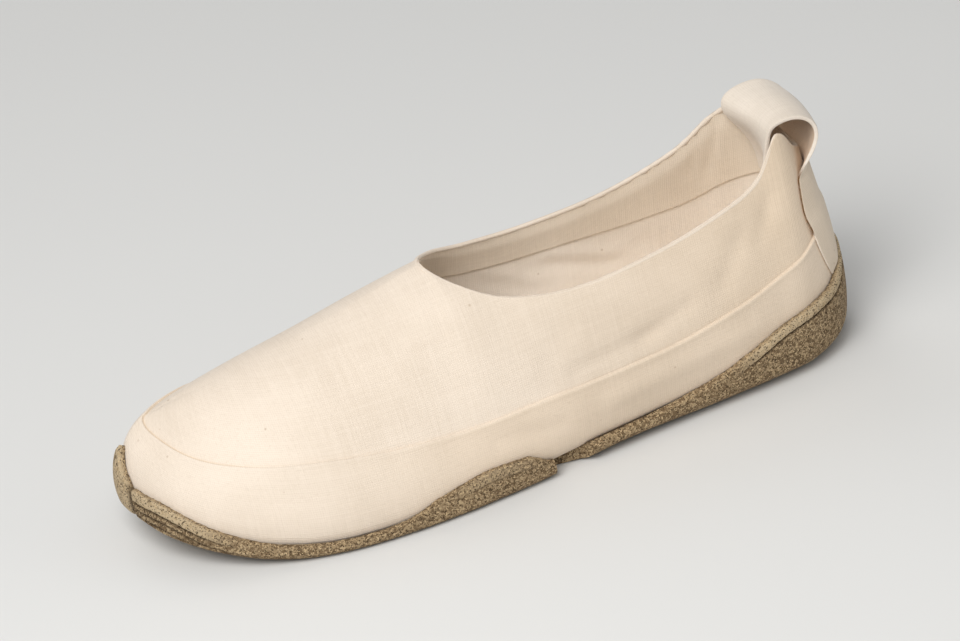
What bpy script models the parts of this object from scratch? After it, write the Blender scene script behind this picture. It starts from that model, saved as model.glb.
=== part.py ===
"""Slip-on canvas shoe for the left foot: upper, insole, outsole and heel strip with its pull loop."""

import bmesh
import bpy
import numpy as np

MM = 0.001

# Frame: +X from heel to toe, +Y to the outer side of the left foot, +Z up, floor at Z = 0.
# The tables count X from the back of the heel in mm, CENTRE_X and CENTRE_Y move them to the origin.
CENTRE_X = 138.1
CENTRE_Y = 0.7

WALL = 1.8
BAND_STEP = 0.7
GAP = 0.3
# Columns of the surface from each section row to the next, heel to toe, and how much finer the heel is read.
COLUMNS = (4, 3, 3, 2, 2, 2, 3, 3, 3, 2, 2, 2, 3, 4, 6)
FINER = 4
# Small steps for reading directions: along the edge in section rows, up the wall in shares of it,
# and the number of heights each column is read at.
EDGE_STEP = 0.02
WALL_STEP = 0.01
HEIGHTS = 81

# One row a section, heel to toe: the edge where the upper meets the sole (x, breadth to the outer and
# inner side, height), the wall between (flare and rise above that edge, swell and drop below the top
# line), the top line (collar, then ridge of the vamp) and the height of the apron seam on each side.
SECTION = np.dtype([(key, float) for key in (
    "x", "outer", "inner", "z", "flare", "rise", "swell", "drop",
    "top_x", "top_outer", "top_inner", "top_outer_z", "top_inner_z", "seam_outer_z", "seam_inner_z")])
SECTIONS = np.array([
    (2.0, -4.0, -4.0, 9.5, 4.0, 18.0, 4.6, 27.0, 7.0, -3.5, -3.5, 77.0, 77.0, 51.0, 51.0),
    (9.5, 13.5, -21.5, 9.2, 3.5, 20.0, 4.6, 27.0, 12.5, 8.5, -15.5, 82.5, 84.0, 50.5, 50.5),
    (22.0, 23.0, -30.5, 9.0, 4.0, 20.0, 6.0, 29.0, 20.0, 14.2, -20.5, 91.5, 91.0, 45.4, 45.4),
    (35.0, 26.5, -33.5, 9.0, 4.5, 19.0, 6.5, 24.0, 31.5, 17.6, -23.3, 77.6, 88.0, 41.4, 41.4),
    (49.0, 28.5, -34.5, 8.8, 5.0, 19.0, 7.0, 23.0, 48.0, 22.0, -26.0, 72.2, 77.0, 37.6, 37.6),
    (76.0, 31.5, -33.5, 8.4, 6.0, 17.0, 7.5, 21.0, 76.0, 26.5, -29.0, 67.2, 67.6, 33.2, 33.2),
    (108.0, 36.0, -31.5, 7.4, 6.5, 17.0, 8.5, 19.0, 107.0, 28.5, -29.5, 64.5, 64.5, 31.7, 31.7),
    (138.0, 41.0, -33.5, 5.8, 6.0, 19.0, 11.5, 16.5, 132.0, 24.5, -25.5, 66.8, 66.8, 31.2, 31.2),
    (156.0, 43.5, -36.5, 5.0, 5.0, 21.0, 18.5, 9.5, 148.0, 14.5, -15.5, 73.0, 73.0, 30.3, 30.8),
    (168.0, 45.0, -39.0, 4.4, 4.5, 23.0, 27.0, 4.0, 156.0, 0.0, 0.0, 77.6, 77.6, 30.2, 31.2),
    (188.0, 46.0, -42.5, 3.6, 4.0, 24.0, 28.5, 2.0, 178.0, -2.0, -2.0, 70.4, 70.4, 31.0, 32.5),
    (210.0, 45.0, -44.5, 3.6, 4.0, 22.0, 27.5, 1.5, 201.0, -4.0, -4.0, 62.8, 62.8, 32.3, 35.0),
    (233.0, 39.5, -43.0, 5.6, 4.0, 19.0, 25.0, 1.0, 223.0, -6.0, -6.0, 56.6, 56.6, 33.8, 39.5),
    (253.0, 29.0, -37.5, 9.5, 3.5, 16.0, 18.5, 1.0, 241.0, -7.5, -7.5, 52.4, 52.4, 36.8, 45.5),
    (267.5, 14.0, -28.0, 14.0, 3.0, 13.0, 13.0, 1.0, 253.0, -9.0, -9.0, 49.5, 49.5, 42.0, 46.8),
    (275.0, -9.5, -9.5, 17.5, 2.5, 12.0, 11.0, 1.0, 260.0, -9.5, -9.5, 47.5, 47.5, 46.2, 46.2),
], dtype=SECTION)
THROAT_ROW = 9
TOE_ROW = len(SECTIONS) - 1

# Rings of the upper's wall, as shares of the band below the seam and of the panel above it.
BAND_RINGS = (0.0, 0.12, 0.38, 0.7, 1.0)
PANEL_RINGS = (0.03, 0.14, 0.3, 0.46, 0.62, 0.78, 0.91, 1.0)
MARGIN_RINGS = (1.0, 0.35)

# Width of the margin turned in under the foot, by distance from the heel on each side.
MARGIN = np.dtype([(key, float) for key in ("x", "outer", "inner")])
MARGINS = np.array([
    (2.0, 10.0, 10.0),
    (60.0, 10.0, 11.0),
    (80.0, 10.0, 22.0),
    (118.0, 10.0, 34.0),
    (150.0, 10.0, 26.0),
    (178.0, 10.0, 11.0),
    (276.0, 10.0, 10.0),
], dtype=MARGIN)

# Top edge of the sole's side on each side of the foot, by section row.
WRAP = np.dtype([(key, float) for key in ("row", "outer", "inner")])
WRAPS = np.array([
    (0.0, 36.5, 36.5),
    (0.25, 34.5, 34.5),
    (0.6, 30.0, 30.0),
    (1.0, 28.0, 28.0),
    (2.0, 26.3, 26.3),
    (3.0, 23.8, 23.0),
    (4.0, 18.5, 15.5),
    (4.5, 14.2, 10.4),
    (5.0, 11.3, 9.3),
    (5.5, 9.2, 8.9),
    (6.5, 8.0, 8.0),
    (6.8, 8.0, 7.4),
    (6.95, 10.5, 7.0),
    (7.2, 13.3, 6.6),
    (8.0, 13.8, 6.0),
    (8.7, 12.8, 5.6),
    (9.5, 9.8, 5.6),
    (10.0, 6.0, 6.8),
    (10.5, 4.8, 8.6),
    (11.0, 4.8, 9.2),
    (12.0, 7.6, 9.4),
    (13.0, 14.8, 13.5),
    (14.0, 23.2, 22.0),
    (14.5, 25.0, 24.5),
    (14.75, 29.0, 29.0),
    (15.0, 37.0, 37.0),
], dtype=WRAP)

# Underside of the sole: height above the floor by distance from the heel.
FLOOR = np.dtype([(key, float) for key in ("x", "z")])
FLOORS = np.array([
    (0.0, 7.0),
    (8.0, 3.0),
    (16.0, 0.8),
    (24.0, 0.0),
    (62.0, 0.0),
    (100.0, 1.6),
    (140.0, 0.0),
    (222.0, 0.0),
    (240.0, 1.8),
    (258.0, 6.0),
    (276.0, 12.0),
], dtype=FLOOR)

# Thickness of the sole's side at its foot and at its top edge, and the least height of that side.
SOLE_LOW = 3.4
SOLE_TOP = 2.6
SIDE_LEAST = 0.9
SOLE_RINGS_INSIDE = (1.0, 0.8, 0.6, 0.4, 0.2, 0.0)
SEAT_INSET = 0.4
TOP_ROUND = 0.03
# Turn of the sole's side into its underside: how far in it reaches, by section row.
TURN = np.dtype([(key, float) for key in ("row", "reach")])
TURNS = np.array([
    (0.0, 13.0),
    (3.0, 15.0),
    (4.0, 14.0),
    (5.0, 11.0),
    (6.5, 7.0),
    (8.0, 5.0),
    (11.0, 5.0),
    (13.0, 7.0),
    (15.0, 9.0),
], dtype=TURN)
TURN_ANGLES = (24.0, 48.0, 69.0, 90.0)
# Grooves along the sole's side: one runs below its top edge, the others above its foot round the toe.
GROOVE_BELOW_TOP = 5.0
GROOVE_BELOW_SHARE = 0.3
GROOVE = np.dtype([(key, float) for key in ("above_foot", "share")])
TOE_GROOVES = np.array([
    (9.0, 0.58),
    (5.6, 0.38),
    (2.2, 0.18),
], dtype=GROOVE)
GROOVE_HALF = 0.055
GROOVE_DEPTH = 0.9
# Side height where a groove starts and where it has its full depth, and the rows the toe grooves grow over.
GROOVE_FROM = 7.0
GROOVE_FULL = 13.0
TOE_GROOVE_ROWS = (12.6, 13.6)

# Outline of the slot through the forefoot, from its mouth on the outer side round the wide end and back.
SLOT = (
    (112.0, 62.0), (115.5, 40.0), (120.0, 36.2), (152.0, 29.0), (179.0, 21.8), (201.0, 17.2), (207.0, 13.4),
    (216.0, 4.2), (221.5, 1.8), (226.0, 4.8), (226.5, 9.0), (213.5, 25.2), (208.5, 26.6), (203.0, 22.4),
    (199.0, 21.6), (176.0, 27.2), (152.0, 33.4), (135.0, 37.2), (131.5, 40.0), (129.5, 62.0),
)
# Outline of the hollow of the waist on the inner side.
WAIST = (
    (58.0, -62.0), (64.0, -38.0), (69.0, -31.5), (77.0, -26.5), (89.0, -18.5), (100.0, -10.5), (108.0, -5.2),
    (118.0, -2.8), (128.0, -4.0), (138.0, -7.8), (147.0, -13.2), (156.0, -20.5), (164.0, -28.5),
    (171.0, -36.0), (177.0, -42.0), (186.0, -62.0),
)
CUT_LOW = -4.0
CUT_HIGH = 60.0

INSOLE = 2.6
INSOLE_INSET = 4.2
INSOLE_LIFT = 0.5

# Heel strip over the back seam: half width by height, then the free loop by its path.
STRIP_CENTRE = -3.5
STRIP_THICK = 1.5
STRIP_COLUMNS = 8
STRIP_FOOT = 0.6
STRIP_LIFT = 0.55
STRIP_TOP = 72.5
STRIP = np.dtype([(key, float) for key in ("z", "half")])
STRIPS = np.array([
    (28.0, 13.0),
    (36.0, 16.0),
    (42.0, 19.0),
    (50.0, 20.9),
    (60.0, 21.6),
    (68.0, 20.0),
    (76.0, 17.0),
], dtype=STRIP)
STRIP_ROWS = 7
# Part of the heel read for the strip: section rows on each side, heights from and to, and their number.
HEEL_ROWS = 3
HEEL_LOW = 20.0
HEEL_HIGH = 76.0
HEEL_LEVELS = 57
# Heights above the seam where the strip comes down from the band to the panel.
STRIP_OVER_SEAM = (2.0, 7.0)
# Loop path by its own rows: x and height of the middle, breadth to each side, how far the edges lag
# forward, and how much higher and how much further forward the inner edge lies.
LOOP = np.dtype([(key, float) for key in ("x", "z", "outer", "inner", "lag", "tilt", "twist")])
LOOPS = np.array([
    (3.6, 76.6, 16.8, 16.8, 6.4, 0.0, 0.0),
    (2.4, 80.6, 16.2, 16.2, 4.4, 0.0, 0.0),
    (1.8, 85.6, 15.8, 16.0, 2.8, 0.3, 0.0),
    (2.8, 90.4, 15.8, 16.0, 2.2, 0.6, 0.0),
    (6.6, 94.3, 16.0, 16.0, 1.2, 0.9, 0.0),
    (12.5, 96.6, 16.0, 16.0, 0.4, 1.4, 0.6),
    (18.8, 96.0, 15.6, 16.2, 0.4, 1.4, 1.9),
    (23.0, 93.2, 14.2, 16.0, 0.6, 1.4, 3.0),
    (23.2, 88.8, 14.4, 15.2, 1.5, 1.2, 2.4),
    (21.0, 83.4, 14.2, 15.0, 2.6, 0.0, -0.2),
    (19.0, 77.0, 14.0, 14.5, 3.8, 0.0, -2.8),
    (17.4, 70.4, 13.4, 14.0, 4.6, 0.0, -4.0),
    (16.2, 64.0, 12.4, 13.5, 4.2, 0.0, -3.2),
], dtype=LOOP)
LOOP_STEPS = 2

CANVAS = (0.80, 0.70, 0.56)
WEBBING = (0.83, 0.74, 0.61)
CLOTH_ROUGHNESS = 0.85
FIBRE = (0.33, 0.24, 0.13)
FIBRE_ROUGHNESS = 0.9
BOARD = (0.015, 0.016, 0.024)
BOARD_ROUGHNESS = 0.8


def monotone(table, key, column, at):
    """Smooth values of one table column at the given places, never beyond neighbouring rows."""
    x = table[key]
    y = table[column]
    h = np.diff(x)
    slope = np.diff(y) / h
    tangent = np.zeros_like(y)
    same = slope[:-1] * slope[1:] > 0
    total = np.where(same, slope[:-1] + slope[1:], 1.0)
    tangent[1:-1] = np.where(same, 2.0 * slope[:-1] * slope[1:] / total, 0.0)
    at = np.clip(at, x[0], x[-1])
    k = np.clip(np.searchsorted(x, at, side="right") - 1, 0, len(h) - 1)
    t = (at - x[k]) / h[k]
    start = (1 + 2 * t) * (1 - t) ** 2 * y[k] + t * (1 - t) ** 2 * h[k] * tangent[k]
    end = t * t * (3 - 2 * t) * y[k + 1] + t * t * (t - 1) * h[k] * tangent[k + 1]
    return start + end


def catmull(rows, at, closed):
    """Smooth curve through rows, taken at row positions."""
    n = len(rows)
    k = np.floor(at).astype(int)
    if not closed:
        k = np.clip(k, 0, n - 2)
    t = (at - k)[:, None]
    if closed:
        p0, p1, p2, p3 = (rows[(k + step) % n] for step in (-1, 0, 1, 2))
    else:
        padded = np.vstack([2 * rows[0] - rows[1], rows, 2 * rows[-1] - rows[-2]])
        p0, p1, p2, p3 = (padded[k + step] for step in (0, 1, 2, 3))
    cubic = 3 * (p1 - p2) + p3 - p0
    square = 2 * p0 - 5 * p1 + 4 * p2 - p3
    return p1 + 0.5 * t * (p2 - p0 + t * (square + t * cubic))


def unit(vectors):
    length = np.linalg.norm(vectors, axis=-1, keepdims=True)
    return vectors / np.where(length > 0.0, length, 1.0)


def bed(x):
    """Height of the underside of the upper by distance from the heel."""
    return monotone(SECTIONS, "x", "z", x)


def outward(edge, at):
    """Level direction away from the foot at row positions of a closed edge."""
    tangent = catmull(edge, at + EDGE_STEP, True) - catmull(edge, at - EDGE_STEP, True)
    return unit(np.stack([-tangent[:, 1], tangent[:, 0], np.zeros(len(at))], axis=1))


def smoothstep(low, high, x):
    t = np.clip((x - low) / (high - low), 0.0, 1.0)
    return t * t * (3.0 - 2.0 * t)


class Last:
    """Shape of the shoe round the foot: columns run up the wall, from the heel by the outer side and back."""

    def __init__(self, finer):
        side = np.concatenate([row + np.arange(n * finer) / (n * finer) for row, n in enumerate(COLUMNS)])
        self.half = len(side)
        self.count = 2 * self.half
        self.row = np.concatenate([side, [TOE_ROW], side[:0:-1]])
        self.outer = np.arange(self.count) < self.half
        around = np.concatenate([side, [TOE_ROW], 2 * TOE_ROW - side[:0:-1]])
        loop = np.concatenate([np.arange(TOE_ROW + 1), np.arange(TOE_ROW - 1, 0, -1)])
        on_outer = np.arange(len(loop)) <= TOE_ROW
        breadth = np.where(on_outer, SECTIONS["outer"][loop], SECTIONS["inner"][loop])
        edge = np.stack([SECTIONS["x"][loop], breadth, SECTIONS["z"][loop]], axis=1)
        self.edge = catmull(edge, around, True)
        self.edge[:, 2] = bed(self.edge[:, 0])
        self.out = outward(edge, around)
        seam_z = np.where(on_outer, SECTIONS["seam_outer_z"][loop], SECTIONS["seam_inner_z"][loop])
        self.seam_z = catmull(seam_z[:, None], around, True)[:, 0]
        facing = outward(edge, np.arange(len(loop)))
        up = np.array([0.0, 0.0, 1.0])
        flank = edge + facing * SECTIONS["flare"][loop][:, None] + up * SECTIONS["rise"][loop][:, None]
        breadth = np.where(on_outer, SECTIONS["top_outer"][loop], SECTIONS["top_inner"][loop])
        height = np.where(on_outer, SECTIONS["top_outer_z"][loop], SECTIONS["top_inner_z"][loop])
        top = np.stack([SECTIONS["top_x"][loop], breadth, height], axis=1)
        shoulder = top + facing * SECTIONS["swell"][loop][:, None] - up * SECTIONS["drop"][loop][:, None]
        self.flank = catmull(flank, around, True)
        self.shoulder = catmull(shoulder, around, True)
        self.top = self.top_line()

    def top_line(self):
        rows = np.concatenate([np.arange(THROAT_ROW + 1), np.arange(THROAT_ROW - 1, 0, -1)])
        on_outer = np.arange(len(rows)) <= THROAT_ROW
        breadth = np.where(on_outer, SECTIONS["top_outer"][rows], SECTIONS["top_inner"][rows])
        height = np.where(on_outer, SECTIONS["top_outer_z"][rows], SECTIONS["top_inner_z"][rows])
        rim = np.stack([SECTIONS["top_x"][rows], breadth, height], axis=1)
        vamp = SECTIONS[THROAT_ROW:]
        ridge = np.stack([vamp["top_x"], vamp["top_outer"], vamp["top_outer_z"]], axis=1)
        on_rim = self.row <= THROAT_ROW
        place = np.where(self.outer, self.row, 2 * THROAT_ROW - self.row)
        rim_points = catmull(rim, np.where(on_rim, place, 0.0), True)
        ridge_points = catmull(ridge, np.where(on_rim, 0.0, self.row - THROAT_ROW), False)
        return np.where(on_rim[:, None], rim_points, ridge_points)

    def by_side(self, table, key, at):
        return np.where(self.outer, monotone(table, key, "outer", at), monotone(table, key, "inner", at))

    def inset(self, distance):
        """Points under the foot, in from the edge of every column."""
        ring = self.edge - self.out * np.asarray(distance).reshape(-1, 1)
        ring[:, 2] = bed(ring[:, 0])
        return ring

    def at(self, share):
        """Points a share of the way up the wall of every column."""
        share = np.asarray(share)[:, None]
        rest = 1.0 - share
        bottom = rest ** 3 * self.edge + 3 * rest ** 2 * share * self.flank
        return bottom + 3 * rest * share ** 2 * self.shoulder + share ** 3 * self.top

    def share_at(self, height):
        """Share of the way up the wall where every column reaches a height."""
        steps = np.linspace(0.0, 1.0, HEIGHTS)
        z = np.stack([self.at(np.full(self.count, step))[:, 2] for step in steps])
        z = np.maximum.accumulate(z, axis=0)
        return np.array([np.interp(height[i], z[:, i], steps) for i in range(self.count)])

    def normal_at(self, share):
        """Outward direction of the wall at a share of the way up every column."""
        low = self.at(np.clip(share - WALL_STEP, 0.0, 1.0))
        high = self.at(np.clip(share + WALL_STEP, 0.0, 1.0))
        here = self.at(share)
        step = np.roll(here, -1, axis=0) - np.roll(here, 1, axis=0)
        return unit(np.cross(high - low, step))


def vertex_normals(points, faces):
    total = np.zeros_like(points)
    for face in faces:
        p = points[list(face)]
        facing = np.cross(p[2] - p[0], p[-1] - p[1]) if len(face) == 4 else np.cross(p[1] - p[0], p[2] - p[0])
        for index in face:
            total[index] += facing
    return unit(total)


def without_repeats(face):
    kept = []
    for index in face:
        if index not in kept:
            kept.append(index)
    return tuple(kept)


def make_solid(name, points, faces, material):
    used = sorted({index for face in faces if len(face) > 2 for index in face})
    place = {old: new for new, old in enumerate(used)}
    shifted = (np.asarray(points)[used] - np.array([CENTRE_X, CENTRE_Y, 0.0])) * MM
    mesh = bpy.data.meshes.new(name)
    corners = [tuple(place[index] for index in face) for face in faces if len(face) > 2]
    mesh.from_pydata([tuple(point) for point in shifted], [], corners)
    bm = bmesh.new()
    bm.from_mesh(mesh)
    bmesh.ops.recalc_face_normals(bm, faces=bm.faces)
    bm.to_mesh(mesh)
    bm.free()
    mesh.polygons.foreach_set("use_smooth", [True] * len(mesh.polygons))
    mesh.materials.append(material)
    obj = bpy.data.objects.new(name, mesh)
    bpy.context.collection.objects.link(obj)
    return obj


def make_material(name, colour, roughness):
    material = bpy.data.materials.new(name)
    material.use_nodes = True
    shader = material.node_tree.nodes["Principled BSDF"]
    shader.inputs["Base Color"].default_value = (*colour, 1.0)
    shader.inputs["Roughness"].default_value = roughness
    return material


def ring_faces(index):
    """Quads between neighbouring closed rings."""
    faces = []
    rings, count = index.shape
    for j in range(rings - 1):
        for i in range(count):
            k = (i + 1) % count
            faces.append(without_repeats((index[j, i], index[j, k], index[j + 1, k], index[j + 1, i])))
    return faces


def ladder_faces(ring):
    """Faces that close a ring across the foot, from its outer to its inner side."""
    count = len(ring)
    faces = []
    for i in range(count // 2):
        back = (ring[i], ring[i + 1], ring[(count - i - 1) % count], ring[(count - i) % count])
        faces.append(without_repeats(back))
    return faces


def upper_rings(last):
    """Outer side of the upper, ring by ring from the margin under the foot to the top line."""
    seam = last.share_at(last.seam_z)
    margin = last.by_side(MARGINS, "x", last.edge[:, 0])
    rings = [last.inset(margin * step) for step in MARGIN_RINGS]
    for step in BAND_RINGS:
        share = seam * step
        proud = BAND_STEP if step > 0 else 0.0
        rings.append(last.at(share) + last.normal_at(share) * proud)
    for step in PANEL_RINGS:
        rings.append(last.at(seam + (1.0 - seam) * step))
    return np.stack(rings)


def build_upper(last, material):
    rings = upper_rings(last)
    ring_count, count = rings.shape[:2]
    index = np.arange(ring_count * count).reshape(ring_count, count)
    on_ridge = last.row >= THROAT_ROW
    for i in range(last.half + 1, count):
        if on_ridge[i]:
            index[-1, i] = index[-1, count - i]
    for i in (last.half, last.half + 1):
        index[-1, i] = index[-1, last.half - 1]
    points = rings.reshape(-1, 3)
    sheet = ring_faces(index)
    normals = vertex_normals(points, sheet)
    middle = index[len(BAND_RINGS)]
    if np.sum(normals[middle] * last.out) < 0:
        normals = -normals
    thick = np.full(len(points), WALL)
    first_proud = len(rings) - len(PANEL_RINGS) - len(BAND_RINGS) + 1
    thick[index[first_proud:first_proud + len(BAND_RINGS) - 1].ravel()] += BAND_STEP
    inside = points - normals * thick[:, None]
    shift = len(points)
    faces = sheet + [tuple(i + shift for i in reversed(face)) for face in sheet]
    for i in range(count):
        k = (i + 1) % count
        faces.append((index[0, k], index[0, i], index[0, i] + shift, index[0, k] + shift))
        if not (on_ridge[i] and on_ridge[k]):
            faces.append((index[-1, i], index[-1, k], index[-1, k] + shift, index[-1, i] + shift))
    return make_solid("upper", np.vstack([points, inside]), faces, material)


def build_insole(last, material):
    low = last.inset(INSOLE_INSET)
    slope = bed(low[:, 0] + 1.0) - bed(low[:, 0])
    low[:, 2] += (WALL + INSOLE_LIFT) * np.hypot(1.0, slope)
    high = low + np.array([0.0, 0.0, INSOLE])
    index = np.arange(2 * last.count).reshape(2, last.count)
    faces = ring_faces(index) + ladder_faces(index[0]) + ladder_faces(index[1])
    return make_solid("insole", np.vstack([low, high]), faces, material)


def sole_rings(last):
    """Surface of the sole, from the middle of its top over the edge to the middle of its underside."""
    wrap = last.by_side(WRAPS, "row", last.row)
    wrap = np.maximum(wrap, last.edge[:, 2] + SIDE_LEAST)
    share = last.share_at(wrap)
    clear = BAND_STEP + GAP
    rings = []
    rings.append(last.inset(SEAT_INSET) - np.array([0.0, 0.0, GAP]))
    for step in reversed(SOLE_RINGS_INSIDE):
        rings.append(last.at(share * step) + last.normal_at(share * step) * clear)
    high = wrap - last.edge[:, 2]
    depth = GROOVE_DEPTH * smoothstep(GROOVE_FROM, GROOVE_FULL, high)
    toe_depth = depth * smoothstep(*TOE_GROOVE_ROWS, last.row)
    below_top = np.minimum(GROOVE_BELOW_TOP / high, GROOVE_BELOW_SHARE)
    grooves = [(below_top, depth)]
    for groove in TOE_GROOVES:
        grooves.append((1.0 - np.minimum(groove["above_foot"] / high, groove["share"]), toe_depth))
    none = np.zeros(last.count)
    steps = [(none + TOP_ROUND, none)]
    for down, cut in grooves:
        steps += [(down - GROOVE_HALF, none), (down, cut), (down + GROOVE_HALF, none)]
    steps.append((none + 1.0, none))
    for down, cut in steps:
        at = last.share_at(wrap - down * high)
        thick = SOLE_TOP + (SOLE_LOW - SOLE_TOP) * down - cut
        rings.append(last.at(at) + last.normal_at(at) * (clear + thick)[:, None])
    reach = monotone(TURNS, "row", "reach", last.row)
    for angle in np.radians(TURN_ANGLES):
        inward = reach * (1.0 - np.cos(angle))
        ring = last.edge + last.out * (clear + SOLE_LOW - inward)[:, None]
        ground = monotone(FLOORS, "x", "z", ring[:, 0])
        ring[:, 2] = ground + (1.0 - np.sin(angle)) * (last.edge[:, 2] - ground)
        rings.append(ring)
    return np.stack(rings)


def build_cutter(name, outline, body, material):
    count = len(outline)
    points = [(x, y, z) for z in (CUT_LOW, CUT_HIGH) for x, y in outline]
    sides = [(i, (i + 1) % count, count + (i + 1) % count, count + i) for i in range(count)]
    faces = sides + [tuple(range(count)), tuple(range(2 * count - 1, count - 1, -1))]
    cutter = make_solid(name, points, faces, material)
    cutter.hide_render = True
    cutter.display_type = "WIRE"
    cut = body.modifiers.new(name, "BOOLEAN")
    cut.operation = "DIFFERENCE"
    cut.solver = "EXACT"
    cut.object = cutter
    return cutter


def build_sole(last, material):
    rings = sole_rings(last)
    index = np.arange(rings.shape[0] * last.count).reshape(rings.shape[:2])
    faces = ring_faces(index) + ladder_faces(index[0]) + ladder_faces(index[-1])
    sole = make_solid("outsole", rings.reshape(-1, 3), faces, material)
    build_cutter("slot_cut", SLOT, sole, material)
    build_cutter("waist_cut", WAIST, sole, material)
    return sole


class HeelSurface:
    """Outer side of the upper round the heel, read by breadth and height."""

    def __init__(self, fine):
        reach = FINER * sum(COLUMNS[:HEEL_ROWS])
        self.columns = np.concatenate([np.arange(fine.count - reach, fine.count), np.arange(reach + 1)])
        self.levels = np.linspace(HEEL_LOW, HEEL_HIGH, HEEL_LEVELS)
        self.points = []
        self.normals = []
        for level in self.levels:
            share = fine.share_at(np.full(fine.count, level))
            self.points.append(fine.at(share)[self.columns])
            self.normals.append(fine.normal_at(share)[self.columns])

    def at(self, y, z):
        place = np.clip((z - HEEL_LOW) / (HEEL_HIGH - HEEL_LOW), 0.0, 1.0) * (HEEL_LEVELS - 1)
        k = min(int(place), HEEL_LEVELS - 2)
        result = []
        for level in (k, k + 1):
            order = np.argsort(self.points[level][:, 1])
            known = self.points[level][order, 1]
            x = np.interp(y, known, self.points[level][order, 0])
            normal = [np.interp(y, known, self.normals[level][order, axis]) for axis in range(3)]
            result.append((x, np.array(normal)))
        part = place - k
        x = (1 - part) * result[0][0] + part * result[1][0]
        normal = (1 - part) * result[0][1] + part * result[1][1]
        return np.array([x, y, z]), normal / np.linalg.norm(normal)


def strip_middle(fine):
    """Middle sheet of the heel strip and loop, row by row from its foot to its end inside the collar."""
    heel = HeelSurface(fine)
    across = np.linspace(-1.0, 1.0, STRIP_COLUMNS + 1)
    order = np.argsort(fine.edge[heel.columns, 1])
    low_y = fine.edge[heel.columns, 1][order]
    low_z = fine.by_side(WRAPS, "row", fine.row)[heel.columns][order]
    seam = fine.seam_z[0]
    rows = []
    for r in np.linspace(0.0, 1.0, STRIP_ROWS):
        centre_z = low_z.max() + (STRIP_TOP - low_z.max()) * r
        half = monotone(STRIPS, "z", "half", np.array([centre_z]))[0]
        row = []
        for q in across:
            y = STRIP_CENTRE + q * half
            foot = np.interp(y, low_y, low_z) + STRIP_FOOT
            z = foot + (STRIP_TOP - foot) * r
            point, normal = heel.at(y, z)
            proud = BAND_STEP * (1.0 - smoothstep(*STRIP_OVER_SEAM, z - seam))
            row.append(point + normal * (proud + STRIP_LIFT + STRIP_THICK / 2))
        rows.append(row)
    count = (len(LOOPS) - 1) * LOOP_STEPS + 1
    table = np.stack([LOOPS[key] for key in LOOP.names], axis=1)
    for x, z, outer, inner, lag, tilt, twist in catmull(table, np.arange(count) / LOOP_STEPS, False):
        row = []
        for q in across:
            y = STRIP_CENTRE + (q * outer if q > 0 else q * inner)
            row.append(np.array([x + lag * q * q - twist * q, y, z - tilt * q]))
        rows.append(row)
    return np.array(rows)


def build_strip(fine, material):
    middle = strip_middle(fine)
    along = np.gradient(middle, axis=0)
    side = np.gradient(middle, axis=1)
    normal = unit(np.cross(along, side))
    front = middle + normal * STRIP_THICK / 2
    back = middle - normal * STRIP_THICK / 2
    rows, columns = middle.shape[:2]
    index = np.arange(rows * columns).reshape(rows, columns)
    shift = rows * columns
    faces = []
    for j in range(rows - 1):
        for i in range(columns - 1):
            quad = (index[j, i], index[j, i + 1], index[j + 1, i + 1], index[j + 1, i])
            faces.append(quad)
            faces.append(tuple(k + shift for k in reversed(quad)))
    border = list(index[0]) + list(index[1:, -1]) + list(index[-1, -2::-1]) + list(index[-2:0:-1, 0])
    for a, b in zip(border, border[1:] + border[:1]):
        faces.append((a, b, b + shift, a + shift))
    points = np.vstack([front.reshape(-1, 3), back.reshape(-1, 3)])
    return make_solid("heel_strip", points, faces, material)


def main():
    for obj in list(bpy.data.objects):
        bpy.data.objects.remove(obj, do_unlink=True)
    canvas = make_material("natural_canvas", CANVAS, CLOTH_ROUGHNESS)
    webbing = make_material("canvas_strip", WEBBING, CLOTH_ROUGHNESS)
    fibre = make_material("fibre_composite", FIBRE, FIBRE_ROUGHNESS)
    board = make_material("dark_board", BOARD, BOARD_ROUGHNESS)
    last = Last(1)
    build_upper(last, canvas)
    build_insole(last, board)
    build_sole(last, fibre)
    build_strip(Last(FINER), webbing)


main()
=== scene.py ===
"""Canvas slip-on shoe for the left foot: the visible pieces, their finishes and the stage."""

import math

import bpy
import numpy as np
from bpy.props import FloatProperty, FloatVectorProperty, IntProperty, PointerProperty
from mathutils import Matrix, Vector


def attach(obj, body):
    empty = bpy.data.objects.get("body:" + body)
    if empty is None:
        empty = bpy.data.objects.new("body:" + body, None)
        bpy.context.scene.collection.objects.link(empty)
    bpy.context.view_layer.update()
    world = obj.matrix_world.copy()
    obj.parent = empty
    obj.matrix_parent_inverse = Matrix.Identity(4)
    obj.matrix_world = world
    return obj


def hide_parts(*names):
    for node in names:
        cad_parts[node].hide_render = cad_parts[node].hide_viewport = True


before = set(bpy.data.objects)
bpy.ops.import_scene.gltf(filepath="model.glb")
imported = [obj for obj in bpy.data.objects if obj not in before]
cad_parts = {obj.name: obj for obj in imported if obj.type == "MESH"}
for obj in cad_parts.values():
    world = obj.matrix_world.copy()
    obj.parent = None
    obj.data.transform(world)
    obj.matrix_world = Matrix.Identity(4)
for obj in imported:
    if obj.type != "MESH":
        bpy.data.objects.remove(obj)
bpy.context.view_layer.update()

bl_info = {
    "name": "Canvas Slip-on Shoe",
    "version": (1, 0, 0),
    "blender": (4, 5, 0),
    "location": "View3D > Sidebar > Shoe",
    "description": "Dresses a left canvas slip-on shoe with a wrapped fibre sole and a heel pull loop",
    "category": "Object",
}

MM = 0.001
# Middle of the shoe's box, in mm from the back of the heel.
CENTRE = np.array([138.1, 0.7, 0.0])


def named_table(columns, *rows):
    """A short table with named columns."""
    return np.array(list(rows), dtype=[(key, float) for key in columns.split()])


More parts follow.
